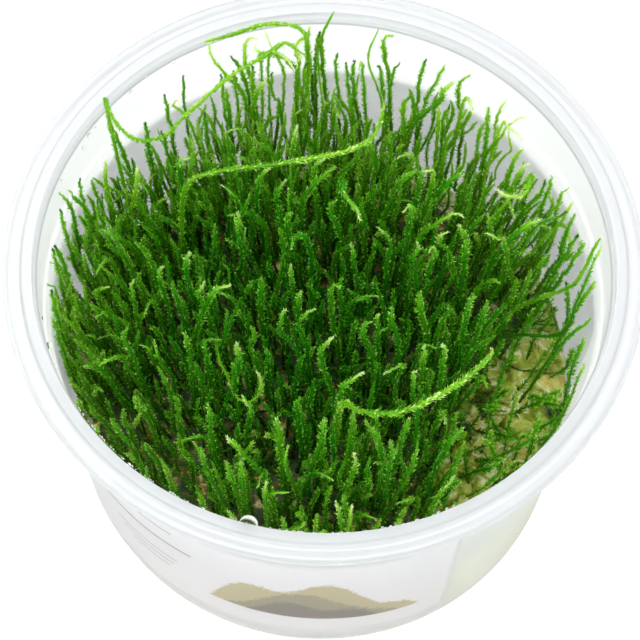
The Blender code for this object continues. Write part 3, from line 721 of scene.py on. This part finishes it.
    ("fresh", 0.9, (19.5, 31.6, 25), (21.5, 32.2, 53), (22.3, 32.2, 56), (23.2, 28.9, 57)),
    ("dry", 0.9, (19.5, 31.5, 25), (18.6, 32, 47), (19.5, 32.2, 54)),
    ("plain", 0.9, (18.2, 29.8, 25), (17.7, 30.4, 56)),
    ("plain", 1, (25.9, 28.7, 25), (25.6, 29.7, 58)),
    ("yellow", 0.7, (26, 29.1, 25), (27.1, 30.8, 46), (27.2, 31, 53), (28.5, 31.1, 58)),
    ("yellow", 0.6, (23.5, 27.3, 25), (27.5, 27.8, 50), (29.3, 27.9, 56), (31.6, 28, 58)),
    ("yellow", 0.8, (24.4, 26.7, 25), (27.5, 27.3, 55), (28.6, 27.3, 56), (31.2, 24.4, 57)),
    ("yellow", 0.6, (24.7, 27.5, 25), (28.7, 28, 44), (29.8, 28.1, 47), (28.9, 28.2, 54)),
    ("yellow", 0.8, (27.4, 12.1, 25), (31.3, 12.7, 36), (36.7, 13.5, 47), (39, 13.9, 56)),
    ("dry", 0.8, (28.4, 11.6, 25), (32.4, 12, 48), (38.1, 12.5, 55)),
    ("plain", 0.9, (35.1, 10, 25), (37.9, 11.1, 42), (37.9, 11.3, 46), (39.3, 11.8, 56)),
    ("dry", 0.9, (32.8, 6.9, 25), (39.8, 8.7, 55)),
    ("plain", 1, (32.7, 5.6, 25), (39.9, 7.3, 50), (40.4, 7.5, 55)),
    ("plain", 1, (36.8, -1.2, 25), (39.6, 0.2, 42), (42.5, 1, 54)),
    ("dry", 0.9, (38, 1.1, 29), (39.4, 2, 39), (38.3, 2.8, 50)),
    ("plain", 0.9, (32.6, -6.8, 25), (37.8, -5.2, 43), (42, -4.5, 52)),
    ("plain", 1.2, (39.1, -10.5, 27), (39.6, -9.1, 41), (40.8, -8.2, 52)),
    ("fresh", 0.7, (35.3, -16.7, 25), (39.5, -14.2, 41), (40.4, -12.4, 46), (41, -12, 51)),
    ("fresh", 0.9, (25.5, 2, 29), (31, 1.2, 33.5), (38.3, -2, 41), (40.2, 0.1, 49), (42.1, 3.3, 54),
     (43.4, 5.7, 57)),
    ("yellow", 0.8, (-14, 32, 34), (-15.2, 35.8, 50), (-16.5, 34.9, 56.5), (-17.9, 35.3, 59),
     (-19.1, 36.4, 60.5), (-19.3, 38.1, 61), (-19.5, 40, 61.2)),
    ("yellow", 0.95, (-11, 33, 34), (-12.4, 36.7, 50), (-13.5, 36.6, 57), (-13.9, 37.8, 59.6),
     (-13.6, 38.8, 60.8), (-12.8, 39.2, 61.4), (-11.8, 38.9, 61.6)),
    ("fresh", 1, (-5.8, 33.5, 34), (-5.3, 38.2, 52), (-6.3, 37.5, 56), (-7.2, 37.2, 58.5),
     (-8.9, 37.4, 59.4), (-11, 37.5, 59.4), (-11.9, 38.4, 59.4), (-12.1, 39.1, 59.4)),
    ("yellow", 0.7, (-8, 34, 30), (-7.4, 38.4, 50), (-8.1, 38.1, 56), (-8.9, 38.8, 58),
     (-9.7, 39.7, 59), (-10.4, 40.8, 59.5), (-10.6, 41.8, 60)),
    ("yellow", 0.7, (-5, 34, 30), (-5, 38.2, 56), (-5.5, 38.1, 58), (-5.5, 39.4, 59),
     (-4.9, 40.3, 59.5), (-4.3, 41.1, 60)),
    ("yellow", 0.8, (-10.5, 34, 30), (-11, 37.4, 54), (-11.6, 37.8, 58.5), (-10, 37.2, 60.5),
     (-8.5, 36.8, 61), (-6.7, 35.9, 60.5), (-5.6, 34.7, 59)),
    ("yellow", 0.7, (-9, 34, 30), (-10, 37.3, 56), (-9, 37.6, 60.5), (-7.9, 38.2, 61.5),
     (-6.2, 38.1, 61.8), (-5, 37, 60.5), (-5.3, 35.9, 58)),
    ("yellow", 0.7, (-3.2, 35, 30), (-3.7, 39.3, 55), (-3.9, 39.4, 59.5), (-4.1, 39.6, 61.5),
     (-5.4, 38.6, 61), (-5.5, 37.4, 59.5), (-4.4, 37.7, 58.5)),
)

# The tall shoots stand where the solids have them: rooted in a sunflower pattern, thin in the
# clearing, and fanning outwards.
TALL_COUNT = 280
TALL_LENGTHS = (33 * MM, 38.5 * MM)
ROOT_SPREAD = 39 * MM
LEAN_RIGHT = 0.34
LEAN_LEFT = 0.24
LEAN_BACK = 0.1
order_draw = random.Random(11)
tall_roots, tall_headings, tall_lengths = [], [], []
for number in range(TALL_COUNT):
    azimuth = number * GOLDEN_ANGLE
    reach = math.sqrt((number + 0.5) / TALL_COUNT) * ROOT_SPREAD + order_draw.uniform(-0.9, 0.9) * MM
    stray_x = order_draw.uniform(-0.05, 0.05)
    stray_y = order_draw.uniform(-0.05, 0.05)
    length = order_draw.uniform(*TALL_LENGTHS) - 2 * MM * (reach / (40 * MM)) ** 2
    back = 3.5 * MM * max(0, math.sin(azimuth)) ** 2
    if reach > ROOT_SPREAD - back - CLEARING_DEPTH * clearing(azimuth):
        continue
    x, y = reach * math.cos(azimuth), reach * math.sin(azimuth)
    place = Vector((x, y, 0)) / (9 * MM)
    lean_x = (LEAN_RIGHT if x > 0 else LEAN_LEFT) * x / (40 * MM)
    lean_x += 0.1 * noise.noise(place + Vector((0, 0, 3)))
    lean_y = LEAN_BACK * y / (40 * MM) + 0.1 * noise.noise(place + Vector((0, 0, 9)))
    tall_roots.append((x, y, GEL_TOP))
    tall_headings.append((lean_x + stray_x, lean_y + stray_y, 1))
    tall_lengths.append(length)
tall_count = len(tall_roots)
tall_lengths = np.array(tall_lengths) * draw.uniform(0.64, 0.92, tall_count)

# Shorter shoots fill the dark between them.
FILL_COUNT = 940
number = np.arange(FILL_COUNT)
azimuth = number * GOLDEN_ANGLE + 1
reach = np.sqrt((number + 0.5) / FILL_COUNT) * 39.5 * MM
fill_x = reach * np.cos(azimuth) + draw.normal(0, 0.8, FILL_COUNT) * MM
fill_y = reach * np.sin(azimuth) + draw.normal(0, 0.8, FILL_COUNT) * MM
fill_reach = np.hypot(fill_x, fill_y)
fill_azimuth = np.arctan2(fill_y, fill_x)
bare = np.array([clearing(a) for a in fill_azimuth])
edge = 39.5 * MM - 3.5 * MM * np.maximum(0, np.sin(fill_azimuth)) ** 2 - CLEARING_DEPTH * bare
lost = (fill_reach >= edge) & (bare > 0.3) & (draw.random(FILL_COUNT) < 0.6)
sparse = (fill_azimuth > -2.9) & (fill_azimuth < -1.75) & (fill_reach > 24 * MM)
kept = (fill_reach < edge) & ~(sparse & (draw.random(FILL_COUNT) < 0.5)) | lost
crowded = kept & (np.abs(fill_azimuth) > 1.2) & (fill_y > -15 * MM) & (fill_reach > 27 * MM)
fill_x, fill_y, fill_reach, edge, at_wall = (
    np.concatenate([values[kept], values[crowded]])
    for values in (fill_x, fill_y, fill_reach, edge, crowded))
fill_x += at_wall * draw.normal(0, 1, len(fill_x)) * MM
fill_y += at_wall * draw.normal(0, 1, len(fill_x)) * MM
fills = len(fill_x)
fill_lean_x = np.where(fill_x > 0, LEAN_RIGHT, LEAN_LEFT) * fill_x / (40 * MM)
fill_lean_x += 0.06 * smooth_field(fill_x, fill_y, 3.0, 9 * MM) + draw.normal(0, 0.06, fills)
fill_lean_y = LEAN_BACK * fill_y / (40 * MM) + draw.normal(0, 0.06, fills)
fill_heights = np.where(draw.random(fills) < 0.5, draw.uniform(17, 26, fills),
                        draw.uniform(9, 18, fills)) * MM
fill_heights *= 1 + 0.4 * np.clip(fill_y / (30 * MM), 0, 1)
fill_heights = np.where(at_wall, draw.uniform(19, 29, fills) * MM, fill_heights)
out_there = fill_reach >= edge
fill_heights = np.where(out_there, draw.uniform(5, 17, fills) * MM, fill_heights)
fill_lean_x += out_there * draw.normal(0, 0.45, fills)
fill_lean_y += out_there * draw.normal(0.2, 0.45, fills)

roots = np.concatenate([tall_roots, np.stack([fill_x, fill_y, np.full(fills, GEL_TOP)], axis=1)])
headings = unit(np.concatenate([tall_headings, np.stack(
    [fill_lean_x, fill_lean_y, np.ones(fills)], axis=1)]))
heights = np.concatenate([tall_lengths, fill_heights])
shoots = len(roots)
root_x, root_y = roots[:, 0], roots[:, 1]
root_reach, root_azimuth = np.hypot(root_x, root_y), np.arctan2(root_y, root_x)
tall = np.arange(shoots) < tall_count
bends = np.stack([draw.normal(0, 0.06, shoots), draw.normal(0, 0.06, shoots),
                  np.zeros(shoots)], axis=1)
waviness = draw.uniform(0.04, 0.16, shoots) + 0.08 * np.clip(root_y / (30 * MM), 0, 1)
hooked = draw.random(shoots) < np.where(tall, 0.12, 0.06)
curl_way = draw.uniform(0, math.tau, shoots)
curl_size = np.where(hooked, draw.uniform(0.8, 2.4, shoots), draw.uniform(0, 0.35, shoots))
curl_start = np.where(hooked, draw.uniform(0.76, 0.92, shoots), 0.6)
curls = np.stack([np.cos(curl_way), np.sin(curl_way), -draw.uniform(0.1, 1.1, shoots)], axis=1)
curls *= curl_size[:, None]
routes = grow(roots, headings, heights, bends, waviness, curls, curl_start)

# A few shoots fork into a short young twig near the top.
forked = np.flatnonzero(draw.random(shoots) < 0.09)
fork_at = draw.integers(9, 14, len(forked))
twig_way = draw.uniform(0, math.tau, len(forked))
twig_headings = unit(unit(routes[forked, fork_at] - routes[forked, fork_at - 1]) + 0.35 * np.stack(
    [np.cos(twig_way), np.sin(twig_way), np.zeros(len(forked))], axis=1))
twig_curls = 0.3 * np.stack([np.cos(twig_way + 2), np.sin(twig_way + 2), -np.ones(len(forked))],
                            axis=1)
twigs = grow(routes[forked, fork_at], twig_headings, draw.uniform(5, 10, len(forked)) * MM,
             0 * twig_headings, waviness[forked], twig_curls, np.full(len(forked), 0.6))

youth = np.where(hooked, draw.uniform(0.5, 0.8, shoots), draw.uniform(0.0, 0.3, shoots))
bright = 0.05 * smooth_field(root_x, root_y, 13.0, 8 * MM) + draw.normal(0, 0.04, shoots)
# Shoots rooted nearer the rim are lighter: painted light for what comes in through the wall. Tall shoots
# are a touch lighter and short fills darker: painted light and painted shade.
bright += np.where(tall, 0.02, -0.03 * (heights < 21 * MM)) + 0.2 * (root_reach / (40 * MM)) ** 2
# Warmth rises towards the rim and at the outer back, where the shoots are also lightened: painted
# backlight over a random spread.
warmth_and_painted_backlight = 0.05 + 0.65 * (root_reach / (40 * MM)) ** 2 + draw.normal(0, 0.12, shoots)
outer_back = np.clip((root_y + 0.4 * root_x) / (34 * MM), 0, 1) ** 2
warmth_and_painted_backlight += 0.35 * outer_back
bright += 0.05 * outer_back
body = draw.uniform(0.17, 0.26, shoots) * MM
leaf_length = draw.uniform(0.44, 0.6, shoots) * MM
strewn = np.concatenate([np.zeros(tall_count), out_there])
leaf_length *= 1 + 0.4 * strewn
body *= 1 - 0.25 * strewn
bright += 0.05 * strewn

# The standing shoots join them, a little unsteady on their ways.
standing = [smooth_route(row[2:], SHARE) for row in STANDING_SHOOTS]
stood = len(standing)
state = np.array([row[0] for row in STANDING_SHOOTS])
standing_routes = np.array([route for route, length in standing])
standing_routes[:, 1:-1] += draw.normal(0, 0.1, (stood, POINTS - 2, 3)) * MM
routes = np.concatenate([routes, standing_routes])
heights = np.concatenate([heights, [length for route, length in standing]])
youth = np.concatenate([youth, np.select([state == "dry", state == "fresh", state == "yellow"],
                                         [0.0, 1.0, 0.7], 0.4)])
foot_x, foot_y = standing_routes[:, 0, 0], standing_routes[:, 0, 1]
foot_reach = np.hypot(foot_x, foot_y)
outer_back = np.clip((foot_y + 0.4 * foot_x) / (34 * MM), 0, 1) ** 2
# Standing shoots nearer the rim and the outer back are lighter and warmer too: painted backlight. Yellow
# and dry ones keep their own colours.
bright = np.concatenate([bright, draw.normal(0.1, 0.04, stood) + 0.12 * (state == "yellow")
                         + 0.08 * outer_back + 0.07 * (foot_reach / (40 * MM)) ** 2])
warmth_and_painted_backlight = np.concatenate([warmth_and_painted_backlight, draw.normal(0.1, 0.1, stood) + 0.3 * outer_back + 0.45 * (
    foot_reach / (40 * MM)) ** 3 + np.select(
    [state == "dry", state == "yellow"], [0.1, 0.5], 0.0)])
thickness = np.array([row[1] for row in STANDING_SHOOTS])
body = np.concatenate([body, 0.27 * MM * thickness])
leaf_length = np.concatenate([leaf_length, draw.uniform(0.52, 0.64, stood) * MM * thickness ** 0.8])
tip_share = np.clip((SHARE[None] - 0.8) / 0.2, 0, 1) ** 1.2
age_and_painted_light = 0.18 + 0.3 * SHARE[None] ** 1.2 + bright[:, None] + 0.4 * youth[:, None] * tip_share
age_and_painted_light[-stood:] -= 0.4 * (state == "dry")[:, None] * np.clip((SHARE[None] - 0.955) / 0.03, 0, 1)

routes = keep_inside(np.concatenate([routes, twigs]))
heights = np.concatenate([heights, np.full(len(forked), 7 * MM)])
age_and_painted_light = np.concatenate([age_and_painted_light, 0.5 + 0.3 * SHARE[None] * draw.uniform(
    0.3, 1.2, (len(forked), 1))])
warmth_and_painted_backlight = np.concatenate([warmth_and_painted_backlight, warmth_and_painted_backlight[forked] + 0.15])
body = np.concatenate([body, 0.75 * body[forked]])
leaf_length = np.concatenate([leaf_length, 0.85 * leaf_length[forked]])
spread = np.radians(draw.uniform(42, 64, len(routes)))
density = (heights / MM * np.where(heights < 21 * MM, 7.6, 9.4)).astype(int)
foot_azimuth = np.arctan2(routes[:, 0, 1], routes[:, 0, 0])
sector = ((foot_azimuth + math.pi / 6) % math.tau // (math.pi / 3)).astype(int)
for index, name in enumerate(("moss_right", "moss_back_right", "moss_back_left", "moss_left",
                              "moss_front_left", "moss_front_right")):
    chosen = sector == index
    piece = leafy_stems(name, routes[chosen], SHARE, body[chosen], leaf_length[chosen],
                        spread[chosen], density[chosen], age_and_painted_light[chosen], warmth_and_painted_backlight[chosen])
    finish_moss(piece, "moss_mat")

# The bed of the clump: years of dead brown stems packed into felt, with the shoots' feet in it.
felt_mesh = bpy.data.meshes.new("moss_felt")
FELT_RINGS, FELT_STEPS = 40, 160
felt_places = [(0, 0, GEL_TOP + 2 * MM)]
for ring in range(1, FELT_RINGS + 1):
    for step in range(FELT_STEPS):
        turn = step * math.tau / FELT_STEPS
        outer = (39.2 - 3.5 * max(0, math.sin(turn)) ** 2) * MM - CLEARING_DEPTH * clearing(turn)
        radius = ring / FELT_RINGS * (outer + 1.2 * MM * noise.noise(Vector((turn * 6, 1, 2))))
        x, y = radius * math.cos(turn), radius * math.sin(turn)
        height = 1.8 + 1.3 * noise.noise(Vector((x, y, 3)) * 240) + 1.0 * noise.noise(
            Vector((x, y, 7)) * 620)
        fall = min(1, (FELT_RINGS - ring) / 3)
        felt_places.append((x, y, GEL_TOP - 0.3 * MM + height * fall * MM))
felt_faces = [(0, 1 + step, 1 + (step + 1) % FELT_STEPS) for step in range(FELT_STEPS)]
for ring in range(FELT_RINGS - 1):
    for step in range(FELT_STEPS):
        low = 1 + ring * FELT_STEPS
        along_ring = (step + 1) % FELT_STEPS
        felt_faces.append((low + step, low + FELT_STEPS + step, low + FELT_STEPS + along_ring,
                           low + along_ring))
felt_mesh.from_pydata(felt_places, [], felt_faces)
felt_mesh.shade_smooth()
felt = bpy.data.objects.new("moss_felt", felt_mesh)
bpy.context.collection.objects.link(felt)

# Dead moss felt, packed wet: dark brown and matt, mottled with olive and a little amber.
dead_moss, shader = new_material("dead_moss")
place = add_node(dead_moss, "ShaderNodeTexCoord", {})
mottle = add_node(dead_moss, "ShaderNodeTexNoise", {"Vector": place.outputs["Object"],
                                                    "Scale": 330, "Detail": 4, "Roughness": 0.7})
felt_colour = colour_ramp(dead_moss, mottle.outputs["Fac"], (
    ("#131a06", 0.32), ("#27460c", 0.46), ("#46540f", 0.52), ("#7d6a24", 0.58), ("#b09a3e", 0.61),
    ("#d5d09a", 0.66)))
dead_moss.node_tree.links.new(felt_colour, shader.inputs["Base Color"])
set_inputs(shader, Roughness=0.6)
felt_mesh.materials.append(dead_moss)
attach(felt, "root")
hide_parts("moss_mat")

# The thatch: old stems that crept over the gel before the shoots stood up, brown and olive.
THATCH_COUNT = 260
thatch_turn = draw.uniform(0, math.tau, THATCH_COUNT)
thatch_reach = np.sqrt(draw.uniform(0, 1, THATCH_COUNT)) * 39 * MM
thatch_reach *= 1 - 0.45 * np.array([clearing(turn) for turn in thatch_turn])
thatch_roots = np.stack([thatch_reach * np.cos(thatch_turn), thatch_reach * np.sin(thatch_turn),
                         GEL_TOP + draw.uniform(0.4, 5, THATCH_COUNT) * MM], axis=1)
thatch_way = draw.uniform(0, math.tau, THATCH_COUNT)
thatch_headings = unit(np.stack([np.cos(thatch_way), np.sin(thatch_way),
                                 draw.uniform(-0.05, 0.35, THATCH_COUNT)], axis=1))
thatch_bends = np.stack([draw.normal(0, 0.6, THATCH_COUNT), draw.normal(0, 0.6, THATCH_COUNT),
                         np.zeros(THATCH_COUNT)], axis=1)
thatch_routes = keep_inside(grow(thatch_roots, thatch_headings,
                                 draw.uniform(8, 18, THATCH_COUNT) * MM, thatch_bends,
                                 np.full(THATCH_COUNT, 0.3), np.zeros((THATCH_COUNT, 3)),
                                 np.full(THATCH_COUNT, 0.7)))
thatch_growth = draw.uniform(0.05, 0.45, (THATCH_COUNT, 1)) * np.ones((1, POINTS))
thatch = leafy_stems("moss_thatch", thatch_routes, SHARE,
                     draw.uniform(0.08, 0.16, THATCH_COUNT) * MM,
                     np.full(THATCH_COUNT, 0.6 * MM), np.full(THATCH_COUNT, 0.8),
                     np.full(THATCH_COUNT, 56), thatch_growth, draw.uniform(0.2, 1, THATCH_COUNT))
finish_moss(thatch, "moss_mat")

# The long stems
# Strands that outgrew the clump and lie over it, each a stem with its leaves pressed close.
RUNNER_ROUTES = {
    "runner_across": [(-23.5, 13.5, 36), (-22.3, 13.8, 57), (-17.6, 14.7, 61), (-9, 15.7, 62),
                      (0.4, 17.8, 62), (5.9, 20.4, 61.5), (7.9, 24, 60.5), (8.8, 29, 59)],
    "runner_front": [(2.5, -20.5, 36), (3.2, -22.6, 56), (6.7, -26, 61), (12, -26.3, 62),
                     (18, -23.2, 62), (22.5, -19.8, 62), (25.6, -16.1, 61), (26, -14.2, 59.8)],
    "runner_left": [(-31.5, 20, 33), (-33.4, 21.5, 50), (-35.4, 26.6, 62), (-34, 23.6, 61.4),
                    (-31.7, 21.2, 60.6), (-29.2, 20.3, 60.4), (-25.4, 21.4, 60.6),
                    (-23.5, 23.8, 61), (-20.6, 26.9, 61.4), (-15.7, 31.7, 62),
                    (-11.9, 34.3, 62.4), (-10.1, 35.4, 62.6), (-8.7, 36.9, 63),
                    (-7.3, 37.4, 63.2), (-5.8, 36.6, 63), (-4.2, 36, 62)],
    "runner_back": [(-4.5, 32.5, 33), (-3.6, 37.5, 50), (-3.6, 38.2, 59.5), (-3.9, 39, 61.6),
                    (-4.6, 40.4, 62.3), (-6.6, 41.1, 62.6), (-10.6, 40.9, 63),
                    (-13.7, 39.4, 63.4), (-17.6, 37.7, 63.6), (-20, 36.9, 63.6)],
    "runner_back_tall": [(0.5, 33.5, 34), (-1.5, 38.2, 49), (-2, 40.6, 56), (-1.4, 41, 60),
                         (-0.4, 41.5, 63.5), (0.4, 41.7, 66)],
    "runner_back_right": [(9.2, 33, 34), (8.6, 34.5, 50), (6.1, 36.6, 60), (7.6, 39.8, 64.5)],
    "runner_right": [(29.5, 4.5, 33), (33, 4, 40), (38.9, 1.9, 50), (40.8, 2.5, 55.5),
                     (41.7, 3.3, 60), (42.6, 4.1, 62.5)],
}
RUNNER_SHARE = np.linspace(0, 1, 60)
for (name, points), thick, warm in zip(RUNNER_ROUTES.items(), (1, 1.15, 0.9, 0.9, 0.6, 0.5, 0.8),
                                       (0.8, 0.75, 0.95, 0.95, 1, 1, 0.85)):
    route, length = smooth_route(points, RUNNER_SHARE)
    age_and_painted_light = (np.linspace(0.52, 0.72, 60) + 0.06 * np.sin(np.linspace(0, 19, 60)))[None]
    piece = leafy_stems("long_" + name, route[None], RUNNER_SHARE, np.array([0.27 * MM * thick]),
                        np.array([0.58 * MM * thick ** 0.7]), np.array([0.6]),
                        np.array([int(length / MM * 15)]), age_and_painted_light, np.array([warm]))
    piece.data.materials.append(moss_leaf)
    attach(piece, "root")
    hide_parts(name)

# The water drops
# Water that has gathered on the cup's inner lip: one big drop hanging over the front edge, and a
# row of fine beads, held by the plastic alone.
drops_bm = bmesh.new()
lip_inside = LIP_RADIUS - 0.1 * MM
for turn, size in [(math.radians(-103.4), 1.5 * MM)] + [
        (math.radians(spot + draw.normal(0, 1.1)), draw.uniform(0.13, 0.3) * MM)
        for spot in (-146, -144.5, -141, -139, -138, -136, -133, -131, -130, -128.5, -127, -124.5, -123,
                     -121, -119.5, -118, -117, -115, -113, -98, -96, -95, -94, -93, -91, -86, -85,
                     -80, -77, -75, -74, -71, -66, -63) for repeat in range(2)]:
    down = 0.35 * size + draw.uniform(0, 0.25) * MM * (size < MM)
    at = Matrix.Translation((lip_inside * math.cos(turn), lip_inside * math.sin(turn),
                             LIP_HEIGHT - down))
    bmesh.ops.create_icosphere(drops_bm, subdivisions=4 if size > MM else 2, radius=size,
                               matrix=at @ Matrix.Diagonal((1, 1, 0.85, 1)))
for spot, height, size in ((135.6, 56.9, 0.5), (147.1, 58.1, 0.3), (148.8, 56.9, 0.5),
                           (151.3, 55.9, 0.35), (131.4, 58.5, 0.3), (124.7, 58, 0.3),
                           (160.7, 56.9, 0.3), (-164.2, 52.2, 0.6), (-161, 49.5, 0.35),
                           (-166.7, 58, 0.3)):
    turn = math.radians(spot)
    reach = LIP_RADIUS - 0.45 * MM + 0.04 * (height * MM - LIP_HEIGHT)
    at = Matrix.Translation((reach * math.cos(turn), reach * math.sin(turn), height * MM))
    bmesh.ops.create_icosphere(drops_bm, subdivisions=2, radius=size * MM, matrix=at)
drops_mesh = bpy.data.meshes.new("water_drops")
drops_bm.to_mesh(drops_mesh)
drops_bm.free()
drops_mesh.shade_smooth()
drops = bpy.data.objects.new("water_drops", drops_mesh)
bpy.context.collection.objects.link(drops)

# Clear water: colourless, smooth, bright round its edge.
clear_water, shader = new_material("clear_water")
set_inputs(shader, Base_Color=(1, 1, 1, 1), Roughness=0.0, IOR=1.333, Transmission_Weight=1)
drops_mesh.materials.append(clear_water)
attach(drops, "root")
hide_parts("cup")

# The stage
# A white table, white soft light all round and one large soft lamp above, and the camera where
# the photographer stood.
floor_mesh = bpy.data.meshes.new("table")
floor_bm = bmesh.new()
bmesh.ops.create_grid(floor_bm, x_segments=1, y_segments=1, size=3)
floor_bm.to_mesh(floor_mesh)
floor_bm.free()
table = bpy.data.objects.new("table", floor_mesh)
bpy.context.collection.objects.link(table)
table_white, shader = new_material("table_white")
set_inputs(shader, Base_Color=linear("#fbfbfb"), Roughness=0.8,
           Emission_Color=(1, 1, 1, 1), Emission_Strength=0.22)
floor_mesh.materials.append(table_white)

world = bpy.data.worlds.new("soft light")
bpy.context.scene.world = world
world.use_nodes = True
set_inputs(world.node_tree.nodes["Background"], Color=(1, 1, 1, 1), Strength=0.95)
lamp_data = bpy.data.lights.new("soft lamp", "AREA")
lamp_data.shape = "DISK"
lamp_data.size = 0.9
lamp_data.energy = 7.5
lamp = bpy.data.objects.new("soft lamp", lamp_data)
lamp.location = (-0.1, -0.35, 0.85)
lamp.rotation_euler = (-lamp.location).to_track_quat("-Z", "Y").to_euler()
bpy.context.collection.objects.link(lamp)
window_data = bpy.data.lights.new("window", "AREA")
window_data.size = 0.13
window_data.energy = 0.6
window = bpy.data.objects.new("window", window_data)
window.location = (-0.22, 0.1, 0.75)
window.rotation_euler = (-window.location).to_track_quat("-Z", "Y").to_euler()
bpy.context.collection.objects.link(window)
bpy.context.scene.view_settings.view_transform = "Standard"

CAMERA_ELEVATION = math.radians(63.55)
CAMERA_DISTANCE = 549.9 * MM
CAMERA_ROLL = math.radians(1.61)
CAMERA_SLIDE = Vector((-0.45, 17.63)) * MM
back = Vector((0, -math.cos(CAMERA_ELEVATION), math.sin(CAMERA_ELEVATION)))
right = Vector((1, 0, 0))
above = back.cross(right)
camera_data = bpy.data.cameras.new("camera")
camera_data.lens = 180
camera_data.sensor_width = 36
camera = bpy.data.objects.new("camera", camera_data)
axes = Matrix((right, above, back)).transposed().to_4x4()
place = back * CAMERA_DISTANCE + right * CAMERA_SLIDE.x + above * CAMERA_SLIDE.y
camera.matrix_world = Matrix.Translation(place) @ axes @ Matrix.Rotation(CAMERA_ROLL, 4, "Z")
bpy.context.collection.objects.link(camera)
bpy.context.scene.camera = camera
